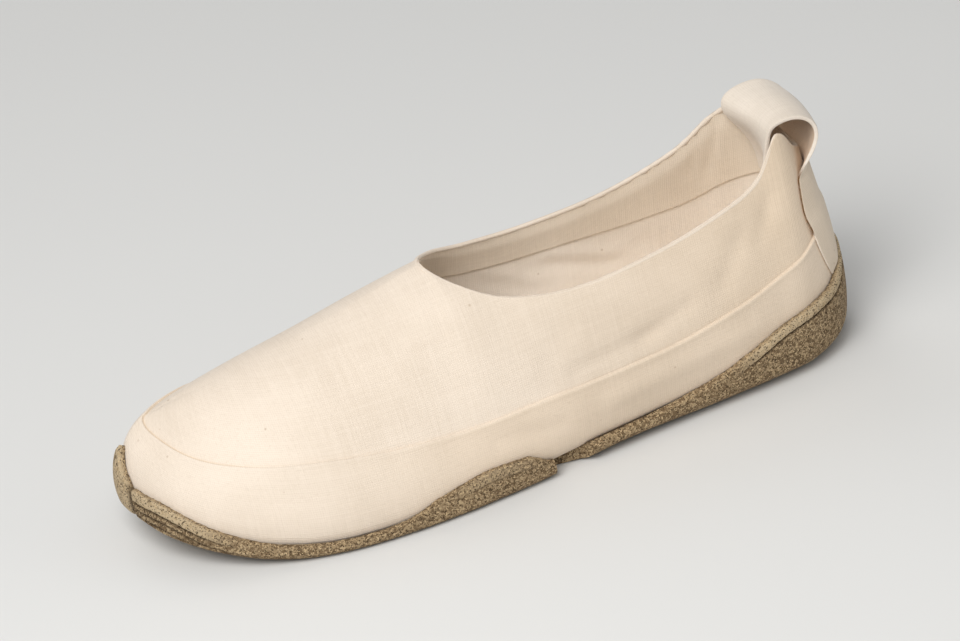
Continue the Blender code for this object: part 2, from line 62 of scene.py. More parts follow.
# Shape of the shoe round the foot, in mm from the back of the heel. One row a section, heel to toe: the edge
# where the upper meets the sole, the wall between, the top line and the height of the apron seam.
SECTIONS = named_table(
    "x outer inner z flare rise swell drop top_x top_outer top_inner top_outer_z top_inner_z"
    " seam_outer_z seam_inner_z",
    (2.0, -4.0, -4.0, 9.5, 4.0, 18.0, 4.6, 27.0, 7.0, -3.5, -3.5, 77.0, 77.0, 51.0, 51.0),
    (9.5, 13.5, -21.5, 9.2, 3.5, 20.0, 4.6, 27.0, 12.5, 8.5, -15.5, 82.5, 84.0, 50.5, 50.5),
    (22.0, 23.0, -30.5, 9.0, 4.0, 20.0, 6.0, 29.0, 20.0, 14.2, -20.5, 91.5, 91.0, 45.4, 45.4),
    (35.0, 26.5, -33.5, 9.0, 4.5, 19.0, 6.5, 24.0, 31.5, 17.6, -23.3, 77.6, 88.0, 41.4, 41.4),
    (49.0, 28.5, -34.5, 8.8, 5.0, 19.0, 7.0, 23.0, 48.0, 22.0, -26.0, 72.2, 77.0, 37.6, 37.6),
    (76.0, 31.5, -33.5, 8.4, 6.0, 17.0, 7.5, 21.0, 76.0, 26.5, -29.0, 67.2, 67.6, 33.2, 33.2),
    (108.0, 36.0, -31.5, 7.4, 6.5, 17.0, 8.5, 19.0, 107.0, 28.5, -29.5, 64.5, 64.5, 31.7, 31.7),
    (138.0, 41.0, -33.5, 5.8, 6.0, 19.0, 11.5, 16.5, 132.0, 24.5, -25.5, 66.8, 66.8, 31.2, 31.2),
    (156.0, 43.5, -36.5, 5.0, 5.0, 21.0, 18.5, 9.5, 148.0, 14.5, -15.5, 73.0, 73.0, 30.3, 30.8),
    (168.0, 45.0, -39.0, 4.4, 4.5, 23.0, 27.0, 4.0, 156.0, 0.0, 0.0, 77.6, 77.6, 30.2, 31.2),
    (188.0, 46.0, -42.5, 3.6, 4.0, 24.0, 28.5, 2.0, 178.0, -2.0, -2.0, 70.4, 70.4, 31.0, 32.5),
    (210.0, 45.0, -44.5, 3.6, 4.0, 22.0, 27.5, 1.5, 201.0, -4.0, -4.0, 62.8, 62.8, 32.3, 35.0),
    (233.0, 39.5, -43.0, 5.6, 4.0, 19.0, 25.0, 1.0, 223.0, -6.0, -6.0, 56.6, 56.6, 33.8, 39.5),
    (253.0, 29.0, -37.5, 9.5, 3.5, 16.0, 18.5, 1.0, 241.0, -7.5, -7.5, 52.4, 52.4, 36.8, 45.5),
    (267.5, 14.0, -28.0, 14.0, 3.0, 13.0, 13.0, 1.0, 253.0, -9.0, -9.0, 49.5, 49.5, 42.0, 46.8),
    (275.0, -9.5, -9.5, 17.5, 2.5, 12.0, 11.0, 1.0, 260.0, -9.5, -9.5, 47.5, 47.5, 46.2, 46.2),
)
# Columns of the mesh from each section to the next, the section at the throat and the rows about its tip.
COLUMNS = (4, 3, 3, 2, 2, 2, 3, 3, 3, 2, 2, 2, 3, 4, 6)
THROAT_ROW = 9
THROAT_TIP = 0.5
TOE_ROW = len(SECTIONS) - 1

# Width of the cloth that is turned in under the foot.
MARGINS = named_table(
    "x outer inner",
    (2.0, 10.0, 10.0),
    (60.0, 10.0, 11.0),
    (80.0, 10.0, 22.0),
    (118.0, 10.0, 34.0),
    (150.0, 10.0, 26.0),
    (178.0, 10.0, 11.0),
    (276.0, 10.0, 10.0),
)

# Height of the lower edge of the facing inside the collar, by section row.
FOLDS = named_table(
    "row z",
    (0.0, 56.0), (2.0, 55.5), (3.0, 55.0), (4.0, 52.0), (5.0, 50.5), (6.0, 50.5), (7.0, 52.5), (8.0, 57.0),
    (9.0, 60.0), (10.0, 58.0), (11.0, 52.0), (12.0, 48.0), (13.0, 45.5), (14.0, 44.5), (15.0, 44.5),
)

# Tints of the cloth, all painted shade: darker and warmer towards the heel and low on the band, only a faint trace of
# it on the lining and facing, and dark on the reverse of the strip for the shadow inside the loop.
PAINTED_SHADE_TINT = (0.915, 0.865, 0.79, 1.0)
FAINT_SHADE_TINT = (1.0, 0.99, 0.97, 1.0)
PAINTED_LOOP_SHADOW = (0.33, 0.21, 0.125, 1.0)
# Distances from the heel between which the panel and the band darken with painted shade, and the toe end of the seam
# takes a thin painted shadow line.
PAINTED_SHADE_PANEL = (165.0, 18.0)
PAINTED_SHADE_BAND = (225.0, 140.0)
PAINTED_SHADE_BAND_MOST = 0.75
PAINTED_SEAM_SHADOW = (225.0, 254.0)

# Soft creases of the cloth: from and to on the side view, side of the foot, half width and depth.
CREASE = "x0 z0 x1 z1 side half depth"
CREASES = named_table(
    CREASE,
    (84.0, 40.5, 116.0, 37.0, 1.0, 3.4, 0.85),
    (68.0, 45.5, 88.0, 39.5, 1.0, 3.6, 0.75),
    (42.0, 62.0, 54.0, 47.0, 1.0, 4.4, 0.80),
    (27.0, 71.0, 35.0, 58.0, 1.0, 3.6, 0.70),
    (118.0, 52.0, 128.0, 36.0, 1.0, 5.5, 0.55),
    (44.0, 27.0, 104.0, 22.0, 1.0, 4.2, -0.80),
    (150.0, 23.0, 126.0, 20.0, 1.0, 3.6, 0.60),
    (88.0, 41.0, 116.0, 36.0, -1.0, 4.5, 0.50),
    (60.0, 52.0, 82.0, 43.0, -1.0, 5.0, 0.45),
    (34.0, 68.0, 46.0, 56.0, -1.0, 4.5, 0.50),
    (122.0, 20.0, 100.0, 17.0, -1.0, 5.0, 0.60),
    (168.0, 34.0, 176.0, 52.0, -1.0, 6.0, 0.30),
)
# Soft folds of the lining on the inside of the wall, and the least cloth under a crease.
LINING_FOLDS = named_table(
    CREASE,
    (100.0, 43.0, 76.0, 35.0, -1.0, 2.8, 0.8),
    (98.0, 47.5, 74.0, 39.5, -1.0, 3.0, -0.8),
    (128.0, 46.0, 108.0, 34.0, -1.0, 3.2, 0.5),
    (124.0, 49.0, 104.0, 37.5, -1.0, 3.2, -0.5),
    (60.0, 40.0, 44.0, 28.0, -1.0, 4.0, 0.7),
    (30.0, 84.0, 34.0, 66.0, -1.0, 2.6, 0.9),
    (36.0, 82.0, 42.0, 66.0, -1.0, 3.0, 0.6),
    (100.0, 42.0, 76.0, 33.0, 1.0, 4.5, 0.7),
    (54.0, 42.0, 40.0, 30.0, 1.0, 4.0, 0.6),
)
CLOTH_LEAST = 0.9

# Height of the sole's top edge and of its underside, and how far its side turns in under the foot.
WRAPS = named_table(
    "row outer inner",
    (0.0, 36.5, 36.5), (0.25, 34.5, 34.5), (0.6, 30.0, 30.0), (1.0, 28.0, 28.0), (2.0, 26.3, 26.3),
    (3.0, 23.8, 23.0), (4.0, 18.5, 15.5), (4.5, 14.2, 10.4), (5.0, 11.3, 9.3), (5.5, 9.2, 8.9),
    (6.5, 8.0, 8.0), (6.8, 8.0, 7.4), (6.95, 10.5, 7.0), (7.2, 13.3, 6.6), (8.0, 13.8, 6.0),
    (8.7, 12.8, 5.6), (9.5, 9.8, 5.6), (10.0, 6.0, 6.8), (10.5, 4.8, 8.6), (11.0, 4.8, 9.2),
    (12.0, 7.6, 9.4), (13.0, 14.8, 13.5), (14.0, 23.2, 22.0), (14.5, 25.0, 24.5), (14.75, 29.0, 29.0),
    (15.0, 37.0, 37.0),
)
GROUNDS = named_table(
    "x z",
    (0.0, 7.0), (8.0, 3.0), (16.0, 0.8), (24.0, 0.0), (62.0, 0.0), (100.0, 1.6), (140.0, 0.0), (222.0, 0.0),
    (240.0, 1.8), (258.0, 6.0), (276.0, 12.0),
)
TURNS = named_table(
    "row reach",
    (0.0, 13.0), (3.0, 15.0), (4.0, 14.0), (5.0, 11.0), (6.5, 7.0), (8.0, 5.0), (11.0, 5.0), (13.0, 7.0),
    (15.0, 9.0),
)
# Welt at the top of the sole's side, the groove below it, and the finer grooves round the toe by section rows.
WELT = 3.8
WELT_SHARE = 0.28
GROOVE_HALF = 0.5
TOE_PITCH = 2.3
TOE_GROOVES = 3
WELT_SHOWN = (6.0, 12.0)
TOE_ROWS = (12.5, 13.5)
FLAP_ROWS = (14.5, 14.62)
FLAP_LINE = 14.6
FLAP_LINE_HALF = 0.045
FLAP_DIP = 1.5
# Thickness of the sole low on its side and at its top edge, and its least height; its gap to the upper.
SOLE_LOW = 3.4
SOLE_TOP = 2.6
SIDE_LEAST = 0.9
TURN_RINGS = 24
GAP = 0.3
# How far the band stands proud of the panel above it.
BAND_STEP = 0.7

# Outline of the slot through the forefoot and of the hollow waist on the inner side.
SLOT = (
    (112.0, 62.0), (115.5, 40.0), (120.0, 36.2), (152.0, 29.0), (179.0, 21.8), (201.0, 17.2), (207.0, 13.4),
    (216.0, 4.2), (221.5, 1.8), (226.0, 4.8), (226.5, 9.0), (213.5, 25.2), (208.5, 26.6), (203.0, 22.4),
    (199.0, 21.6), (176.0, 27.2), (152.0, 33.4), (135.0, 37.2), (131.5, 40.0), (129.5, 62.0),
)
WAIST = (
    (58.0, -62.0), (64.0, -38.0), (69.0, -31.5), (77.0, -26.5), (89.0, -18.5), (100.0, -10.5), (108.0, -5.2),
    (118.0, -2.8), (128.0, -4.0), (138.0, -7.8), (147.0, -13.2), (156.0, -20.5), (164.0, -28.5),
    (171.0, -36.0), (177.0, -42.0), (186.0, -62.0),
)
CUT_LOW = -4.0
CUT_HIGH = 60.0

# Heel strip over the back seam, and the free loop by its path.
STRIP_CENTRE = -3.5
STRIP_LIFT = 0.55
STRIP_FOOT = 0.6
STRIP_TOP = 72.5
STRIPS = named_table(
    "z half",
    (28.0, 13.0), (36.0, 16.0), (42.0, 19.0), (50.0, 20.9), (60.0, 21.6), (68.0, 20.0), (76.0, 17.0),
)
STRIP_OVER_SEAM = (2.0, 7.0)
# Places along the strip between which its reverse darkens with painted shadow, inside the loop.
LOOP_SHADOW_PLACES = (18.0, 23.0)
HEEL_ROWS = 3
HEEL_LOW = 20.0
HEEL_HIGH = 76.0
HEEL_LEVELS = 57
LOOPS = named_table(
    "x z outer inner lag tilt twist",
    (3.6, 76.6, 16.8, 16.8, 6.4, 0.0, 0.0),
    (2.4, 80.6, 16.2, 16.2, 4.4, 0.0, 0.0),
    (1.8, 85.6, 15.8, 16.0, 2.8, 0.3, 0.0),
    (2.8, 90.4, 15.8, 16.0, 2.2, 0.6, 0.0),
    (6.6, 94.3, 16.0, 16.0, 1.2, 0.9, 0.0),
    (12.5, 96.6, 16.0, 16.0, 0.4, 1.4, 0.6),
    (18.8, 96.0, 15.6, 16.2, 0.4, 1.4, 1.9),
    (23.0, 93.2, 14.2, 16.0, 0.6, 1.4, 3.0),
    (23.2, 88.8, 14.4, 15.2, 1.5, 1.2, 2.4),
    (21.0, 83.4, 14.2, 15.0, 2.6, 0.0, -0.2),
    (19.0, 77.0, 14.0, 14.5, 3.8, 0.0, -2.8),
    (17.4, 70.4, 13.4, 14.0, 4.6, 0.0, -4.0),
    (16.2, 64.0, 12.4, 13.5, 4.2, 0.0, -3.2),
)

# Fields of curved lines under the sole: centre, half sizes, turn in degrees, and whether only the ends show.
FIELDS = named_table(
    "x y long wide turn ends",
    (182.5, -11.0, 35.0, 20.5, -11.0, 1.0),
    (253.0, -12.0, 28.0, 19.0, -4.0, 1.0),
    (51.0, -13.5, 45.0, 15.5, 7.0, 0.0),
    (61.0, 19.0, 56.0, 13.5, 1.0, 0.0),
)
# Long arcs on the outer side of the slot: their centre, and the line they start from.
FAN = (104.0, -88.0)
FAN_FROM = ((112.0, 152.0, 201.0, 226.0, 270.0), (46.0, 39.0, 31.0, 24.0, 14.0))
# Single grooves under the sole, from and to.
LINES = named_table(
    "x0 y0 x1 y1",
    (231.0, 7.0, 274.0, 0.0),
    (228.0, 18.0, 272.0, 9.0),
    (151.0, 6.0, 173.0, 17.0),
    (220.0, -2.0, 222.0, -34.0),
)
LINE_HALF = 0.8
LINE_INSET = 4.0
TREAD_PITCH = 2.9
# How far from the single grooves, the edges and the fields' own rims the lines start and are full.
LINE_FAR = 9.0
LINE_CLEAR = (2.2, 3.4)
LINE_FADE = (1.6, 1.0)
BORDER_CLEAR = (2.0, 4.0)
FAN_EDGE = (0.0, 2.0)
FAN_START = (128.0, 140.0)
FIELD_FADE = (1.0, 0.93)
ENDS_FADE = (0.30, 0.65)
TURN_FADE = (0.35, 0.75)

# Rings of the upper: shares of the margin under the foot, then rings of the band, the panel, the facing and the rim.
MARGIN_SHARES = (1.0, 0.75, 0.5, 0.25, 0.1)
BAND_RINGS = 16
BAND_RISE = 0.16
PANEL_RINGS = 15
FACING_RINGS = 14
RIM_START = 2.4
RIM_RINGS = (1.6, 0.8, 0.0)
RIM_SHARE = 0.995
# Folded top edge of the band: mm up the wall from the seam, share of the band's step and share of the bead.
SEAM_EDGE = named_table(
    "away step bead",
    (-2.0, 1.0, 0.3), (-1.4, 1.0, 0.8), (-0.9, 1.0, 1.0), (-0.45, 1.0, 0.9), (-0.2, 0.92, 0.4),
    (-0.04, 0.62, 0.0), (0.03, 0.1, 0.0), (0.2, -0.12, 0.0), (0.6, -0.04, 0.0), (1.1, 0.0, 0.0),
)
# mm from the seam between which the rings take a thin painted shadow line at the toe
SEAM_SHADOW_SPAN = (-0.1, 0.3)
SEAM_BELOW = 2.6
SEAM_ROOM = 9.0
# Lower edge of the facing: least share of the wall above the seam, most share of the whole wall, half its step.
FOLD_LEAST = 0.3
FOLD_MOST = 0.93
FOLD_HALF = 0.5
# Section rows where the facing fades out in front of the throat, and the last one with its colour.
FACING_ENDS = (THROAT_ROW + 0.6, THROAT_ROW + 1.2)
FACING_LAST = THROAT_ROW + 0.9
# Slack of the cloth and the wave of the band's edge, in mm, and how deep the lining's folds go on either part.
SLACK = 0.10
SLACK_STRETCH = 1.3
BAND_WAVE = 0.08
FACING_FOLD = 0.4
LINING_FOLD = 0.7
# Where the wall thins to the rim and to the tip of the throat, and a point inside the shoe.
RIM_FROM = 0.90
RIM_THIN = 0.5
TIP_HALF = 0.35
TIP_THIN = 0.85
TIP_SHARES = (0.85, 0.99)
INSIDE = (150.0, 0.0, 30.0)

# Roll along the collar: sides of its section, its middle in from and below the rim, and where it is thinner.
ROLL_SIDES = 14
ROLL_IN = 0.72
ROLL_DOWN = 0.45
ROLL_LONG = 1.7
ROLL_SMOOTH = 9
ROLL_SHARE = 0.985
ROLL_THROAT_HALF = 0.40
ROLL_THROAT_THIN = 0.40
ROLL_HEEL_ROWS = (2.6, 1.4)
ROLL_HEEL_THIN = 0.45
ROLL_WAVE = 0.16
ROLL_FAR_WAVE = 0.30
ROLL_FAR_END = 84.0

# Insole by rings: distance in from its edge and share of its thickness. Its cover curls up against the lining by
# rings: share of the way up the wall and distance in from the lining.
INSOLE_RINGS = named_table(
    "inset rise",
    (30.0, 0.0), (12.0, 0.0), (0.6, 0.0), (0.1, 0.12), (0.0, 0.5), (2.6, 1.1), (5.0, 1.0), (12.0, 1.0), (30.0, 1.0),
)
COVER_RINGS = named_table(
    "share inset",
    (0.08, 0.10), (0.13, 0.05), (0.175, -0.15), (0.16, 0.05), (0.13, 0.45), (0.105, 1.2),
)
INSOLE_SIDE = 5
INSOLE_COLUMNS = 3
INSOLE_GAP = 0.5
INSOLE_INSET = 2.2
INSOLE_REACH = 0.94

# Rings of the sole: up its inside, down its side with a rounded top edge, and across its underside.
SEAT_INSET = 0.4
SEAT_RINGS = 9
EDGE_ROUND = 0.055
SIDE_STEPS = (0.0, 0.012, 0.03, *np.linspace(EDGE_ROUND, 1.0, 56))
EDGE_ROUNDING = 0.22
UNDER_RINGS = 120
SEAT_ROWS = 2
OUTLINE_STEP = 3
FRINGE = 0.16
SHARP_EDGE = math.radians(50.0)

# Rows and columns of the strip's mesh, and the slow wave and the hem of its free loop, in mm.
STRIP_COLUMNS = 4
STRIP_ACROSS = 41
STRIP_ROWS = 15
STRIP_FINER = 4
LOOP_FINER = 2
STRIP_FREE = (13.0, 17.0)
STRIP_WAVE = 0.30
STRIP_HEM = 0.16
STRIP_BEVEL = 0.00030
BEVEL_ANGLE = math.radians(55.0)

# Lamps: where each stands, how wide it is, whose power it takes and what share of it. They look at the shoe's middle.
LAMPS = (
    ("key_light", (0.68, 1.17, 1.40), 1.3, "key", 1.0),
    ("top_light", (0.50, 0.46, 0.98), 0.8, "top", 1.0),
    ("back_light", (0.35, -1.5, 1.35), 1.4, "fill", 1.0),
    ("heel_light", (-1.25, 0.95, 0.42), 1.2, "fill", 0.5),
)
LAMPS_LOOK = (0.0, 0.0, 0.04)
CAMERA_LOOK = (0.0009, -0.0007, 0.0400)
CAMERA_SHIFT = 0.02
CAMERA_NEAR = 0.05
SENSOR = 36.0
SKY_COLOUR = (0.96, 0.98, 1.0, 1.0)
FLOOR_SIZE = 8.0

# Share of the wall over which its direction is read, the side of a unit of the cloth's map, and the reach of sewing.
WALL_STEP = 0.01
CLOTH_UNIT = 0.01
SEW_REACH = 0.000005
SLIVER = 0.000001


def length_property(name, description, default):
    return FloatProperty(name=name, description=description, default=default, unit="LENGTH")


def colour_property(name, description, *default):
    return FloatVectorProperty(
        name=name, description=description, default=default, subtype="COLOR", min=0.0, max=1.0)


def angle_property(name, description, degrees):
    return FloatProperty(name=name, description=description, default=math.radians(degrees), subtype="ANGLE")


def level_property(name, description, default):
    return FloatProperty(name=name, description=description, default=default)


class ShoeSizes(bpy.types.PropertyGroup):
    """Sizes of the cloth, the sole and the strip"""

    wall: length_property("Wall", "Thickness of the canvas wall", 0.0018)
    facing: length_property("Facing", "Extra thickness of the facing inside the collar", 0.0006)
    bead: length_property("Folded edge", "Extra thickness of the band's folded top edge", 0.00022)
    roll: length_property("Collar roll", "Thickness of the roll along the collar", 0.0016)
    strip: length_property("Strip", "Thickness of the heel strip and its loop", 0.0015)
    insole: length_property("Insole", "Thickness of the insole board", 0.0026)
    groove: length_property("Side groove", "Depth of the grooves along the sole's side", 0.0010)
    tread: length_property("Tread", "Depth of the lines under the sole", 0.0007)
    weave: length_property("Weave", "Distance between two threads of the canvas", 0.0008)
    fleck: length_property("Fleck", "Size of the flecks in the fibre sole", 0.0008)
    finer: IntProperty(
        name="Columns", description="Columns of the mesh for each column of the sections", default=6, min=2, max=8)


class ShoeColours(bpy.types.PropertyGroup):
    """Colours of the finishes"""

    canvas: colour_property("Canvas", "Cream canvas of the upper", 0.81, 0.70, 0.585)
    # The facing and the lining are lighter than the canvas outside, partly paler cloth and partly painted light for
    # the dim inside; the facing is darker than the lining as painted shade under the overhang of the collar.
    facing: colour_property("Facing", "Facing inside the collar", 0.90, 0.79, 0.66)
    lining: colour_property("Lining", "Lining below the facing", 0.95, 0.86, 0.76)
    strip: colour_property("Strip", "Canvas of the heel strip and its loop", 0.80, 0.71, 0.61)
    reverse: colour_property("Reverse", "Reverse side of the heel strip", 0.85, 0.66, 0.48)
    # The cut edge's dark colour also stands for painted shadow in the gap along the strip's edge.
    edge: colour_property("Cut edge", "Glued cut edge of the heel strip", 0.16, 0.085, 0.035)
    fibre: colour_property("Fibre", "Ground of the fibre sole", 0.165, 0.108, 0.056)
    fleck: colour_property("Flecks", "Golden flecks of the fibre sole", 0.43, 0.315, 0.18)
    welt: colour_property("Welt", "Rubbed pale welt and toe flap of the sole", 0.60, 0.47, 0.30)
    speck: colour_property("Specks", "Dark specks of the fibre sole", 0.040, 0.023, 0.010)
    board: colour_property("Board", "Insole board", 0.012, 0.013, 0.020)
    floor: colour_property("Floor", "Plain floor", 0.73, 0.722, 0.70)


class ShoeStage(bpy.types.PropertyGroup):
    """Camera and lights"""

    turn: angle_property("Turn", "Camera's turn from the outer side towards the toe", 14.575)
    height: angle_property("Height", "Camera's angle above the floor", 28.513)
    roll: angle_property("Roll", "Camera's roll", 10.59)
    away: length_property("Distance", "Camera's distance from the shoe", 1.8)
    lens: level_property("Lens", "Focal length in mm", 186.0)
    key: level_property("Key light", "Power of the key light in watts", 19.0)
    top: level_property("Top light", "Power of the light above the toe in watts", 5.0)
    fill: level_property("Fill light", "Power of the back light in watts", 6.2)
    sky: level_property("Surround", "Strength of the even surrounding light", 0.33)


def monotone(table, key, column, at):
    """Smooth values of one table column at the given places, never beyond neighbouring rows."""
    x = table[key]
    y = table[column]
    h = np.diff(x)
    slope = np.diff(y) / h
    tangent = np.zeros_like(y)
    same = slope[:-1] * slope[1:] > 0
    total = np.where(same, slope[:-1] + slope[1:], 1.0)
    tangent[1:-1] = np.where(same, 2.0 * slope[:-1] * slope[1:] / total, 0.0)
    at = np.clip(at, x[0], x[-1])
    k = np.clip(np.searchsorted(x, at, side="right") - 1, 0, len(h) - 1)
    t = (at - x[k]) / h[k]
    start = (1 + 2 * t) * (1 - t) ** 2 * y[k] + t * (1 - t) ** 2 * h[k] * tangent[k]
    end = t * t * (3 - 2 * t) * y[k + 1] + t * t * (t - 1) * h[k] * tangent[k + 1]
    return start + end


def catmull(rows, at, closed):
    """Smooth curve through rows, taken at row positions."""
    n = len(rows)
    k = np.floor(at).astype(int)
    if not closed:
        k = np.clip(k, 0, n - 2)
    t = (at - k)[:, None]
    if closed:
        p0, p1, p2, p3 = (rows[(k + step) % n] for step in (-1, 0, 1, 2))
    else:
        padded = np.vstack([2 * rows[0] - rows[1], rows, 2 * rows[-1] - rows[-2]])
        p0, p1, p2, p3 = (padded[k + step] for step in (0, 1, 2, 3))
    cubic = 3 * (p1 - p2) + p3 - p0
    square = 2 * p0 - 5 * p1 + 4 * p2 - p3
    return p1 + 0.5 * t * (p2 - p0 + t * (square + t * cubic))


def unit(vectors):
    """Vectors of length one."""
    length = np.linalg.norm(vectors, axis=-1, keepdims=True)
    return vectors / np.where(length > 0.0, length, 1.0)


def bed(x):
    """Height of the underside of the upper by distance from the heel."""
    return monotone(SECTIONS, "x", "z", x)


def outward(edge, at):
    """Level direction away from the foot at row positions of a closed edge."""
    tangent = catmull(edge, at + 0.02, True) - catmull(edge, at - 0.02, True)
    return unit(np.stack([-tangent[:, 1], tangent[:, 0], np.zeros(len(at))], axis=1))


def smoothstep(low, high, x):
    """Soft step from 0 at low to 1 at high."""
    t = np.clip((x - low) / (high - low), 0.0, 1.0)
    return t * t * (3.0 - 2.0 * t)


def ripple(along, across, seed):
    """Even slow waves of cloth that isn't drawn tight, between -1 and 1."""
    waves = np.zeros(np.broadcast(along, across).shape)
    for k in range(1, 6):
        turn = seed * 1.7 + k * 2.399
        waves = waves + np.sin(along * (0.021 + 0.013 * k) + across * (0.034 * np.sin(turn)) + turn) / k
    return waves / 2.28


def near_lines(table, x, z, outer):
    """Sum of the soft troughs of a crease table at points of the side view."""
    total = np.zeros_like(x)
    for row in table:
        dx = row["x1"] - row["x0"]
        dz = row["z1"] - row["z0"]
        t = np.clip(((x - row["x0"]) * dx + (z - row["z0"]) * dz) / (dx * dx + dz * dz), 0.0, 1.0)
        away = (x - row["x0"] - t * dx) ** 2 + (z - row["z0"] - t * dz) ** 2
        side = outer if row["side"] > 0 else ~outer
        total += np.where(side, row["depth"] * np.exp(-away / row["half"] ** 2), 0.0)
    return total


def loop_rows(turn):
    """Section rows from the heel by the outer side to a turning row and back, and which lie on the outer side."""
    rows = np.concatenate([np.arange(turn + 1), np.arange(turn - 1, 0, -1)])
    return rows, np.arange(len(rows)) <= turn


def side_values(rows, on_outer, start="", end=""):
    """A pair of columns of the sections, each row from the column of its own side."""
    return np.where(on_outer, SECTIONS[start + "outer" + end][rows], SECTIONS[start + "inner" + end][rows])


def top_points(rows, on_outer):
    """Points of the top line at section rows."""
    breadth = side_values(rows, on_outer, "top_")
    return np.stack([SECTIONS["top_x"][rows], breadth, side_values(rows, on_outer, "top_", "_z")], axis=1)


class Last:
    """Shape of the shoe round the foot: columns run up the wall, from the heel by the outer side and back."""

    def __init__(self, finer):
        side = np.concatenate([row + np.arange(n * finer) / (n * finer) for row, n in enumerate(COLUMNS)])
        self.half = len(side)
        self.count = 2 * self.half
        self.row = np.concatenate([side, [TOE_ROW], side[:0:-1]])
        self.outer = np.arange(self.count) < self.half
        around = np.concatenate([side, [TOE_ROW], 2 * TOE_ROW - side[:0:-1]])
        rows, on_outer = loop_rows(TOE_ROW)
        section = SECTIONS[rows]
        edge = np.stack([section["x"], side_values(rows, on_outer), section["z"]], axis=1)
        self.edge = catmull(edge, around, True)
        self.edge[:, 2] = bed(self.edge[:, 0])
        self.out = outward(edge, around)
        self.seam_z = catmull(side_values(rows, on_outer, "seam_", "_z")[:, None], around, True)[:, 0]
        facing = outward(edge, np.arange(len(rows)))
        up = np.array([0.0, 0.0, 1.0])
        flank = edge + facing * section["flare"][:, None] + up * section["rise"][:, None]
        top = top_points(rows, on_outer)
        shoulder = top + facing * section["swell"][:, None] - up * section["drop"][:, None]
        self.flank = catmull(flank, around, True)
        self.shoulder = catmull(shoulder, around, True)
        self.top = self.top_line()
        self.steps = np.linspace(0.0, 1.0, 161)
        z = np.stack([self.at(np.full(self.count, step))[:, 2] for step in self.steps])
        self.levels = np.maximum.accumulate(z, axis=0)

    def top_line(self):
        """Rim of the collar, and the ridge of the vamp from the throat to the toe."""
        rim = top_points(*loop_rows(THROAT_ROW))
        vamp = SECTIONS[THROAT_ROW:]
        ridge = np.stack([vamp["top_x"], vamp["top_outer"], vamp["top_outer_z"]], axis=1)
        on_rim = self.row <= THROAT_ROW
        place = np.where(self.outer, self.row, 2 * THROAT_ROW - self.row)
        rim_points = catmull(rim, np.where(on_rim, place, 0.0), True)
        ridge_points = catmull(ridge, np.where(on_rim, 0.0, self.row - THROAT_ROW), False)
        return np.where(on_rim[:, None], rim_points, ridge_points)

    def by_side(self, table, key, at):
        """Smooth values of a table, each column from its own side of the foot."""
        return np.where(self.outer, monotone(table, key, "outer", at), monotone(table, key, "inner", at))

    def inset(self, distance):
        """Points under the foot, in from the edge of every column."""
        ring = self.edge - self.out * np.asarray(distance).reshape(-1, 1)
        ring[:, 2] = bed(ring[:, 0])
        return ring

    def at(self, share):
        """Points a share of the way up the wall of every column."""
        share = np.asarray(share)[:, None]
        rest = 1.0 - share
        bottom = rest ** 3 * self.edge + 3 * rest ** 2 * share * self.flank
        return bottom + 3 * rest * share ** 2 * self.shoulder + share ** 3 * self.top

    def share_at(self, height):
        """Share of the way up the wall where every column reaches a height."""
        return np.array([np.interp(height[i], self.levels[:, i], self.steps) for i in range(self.count)])

    def step_at(self, share):
        """Short step up the wall at a share of the way up every column, and the share that it takes."""
        low = np.clip(share - WALL_STEP, 0.0, 1.0)
        high = np.clip(share + WALL_STEP, 0.0, 1.0)
        return self.at(high) - self.at(low), high - low

    def speed_at(self, share):
        """Length of wall for a whole share at a share of the way up every column, in mm."""
        step, span = self.step_at(share)
        return np.linalg.norm(step, axis=1) / span

    def normal_at(self, share):
        """Outward direction of the wall at a share of the way up every column."""
        here = self.at(share)
        along = np.roll(here, -1, axis=0) - np.roll(here, 1, axis=0)
        return unit(np.cross(self.step_at(share)[0], along))


def select_only(*pieces):
    """Leaves these pieces alone in the selection, the first of them active."""
    bpy.ops.object.select_all(action="DESELECT")
    for piece in pieces:
        piece.select_set(True)
    if pieces:
        bpy.context.view_layer.objects.active = pieces[0]


def start_grid(name, columns, rows):
    """A fresh grid of so many faces each way, alone in the selection."""
    select_only()
    bpy.ops.mesh.primitive_grid_add(x_subdivisions=columns, y_subdivisions=rows, size=1.0)
    piece = bpy.context.active_object
    piece.name = name
    piece.data.name = name
    return piece


def lay_points(piece, points):
    """Bends a grid to points given in mm from the heel, row by row."""
    flat = (np.asarray(points).reshape(-1, 3) - CENTRE) * MM
    if len(flat) != len(piece.data.vertices):
        raise RuntimeError(f"{piece.name}: {len(flat)} points for {len(piece.data.vertices)} corners")
    piece.data.vertices.foreach_set("co", flat.ravel())
    piece.data.update()


def lay_pattern(piece, pattern):
    """Writes a pattern's place on the cloth, in mm, to the piece's own map."""
    mesh = piece.data
    layer = mesh.uv_layers[0]
    layer.name = "cloth"
    corner = np.empty(len(mesh.loops), dtype=np.int32)
    mesh.loops.foreach_get("vertex_index", corner)
    layer.data.foreach_set("uv", (np.asarray(pattern).reshape(-1, 2)[corner] / (CLOTH_UNIT / MM)).ravel())


def lay_value(piece, name, values):
    """Writes one value a point to the piece's own attribute, for its finish."""
    layer = piece.data.attributes.new(name, "FLOAT", "POINT")
    layer.data.foreach_set("value", np.asarray(values, dtype=np.float32).ravel())


def sew(piece):
    """Joins the edges that lie on each other and turns the faces outwards."""
    select_only(piece)
    bpy.ops.object.mode_set(mode="EDIT")
    bpy.ops.mesh.select_all(action="SELECT")
    bpy.ops.mesh.remove_doubles(threshold=SEW_REACH)
    bpy.ops.mesh.dissolve_degenerate(threshold=SLIVER)
    bpy.ops.mesh.select_all(action="SELECT")
    bpy.ops.mesh.normals_make_consistent(inside=False)
    bpy.ops.mesh.select_all(action="DESELECT")
    bpy.ops.object.mode_set(mode="OBJECT")


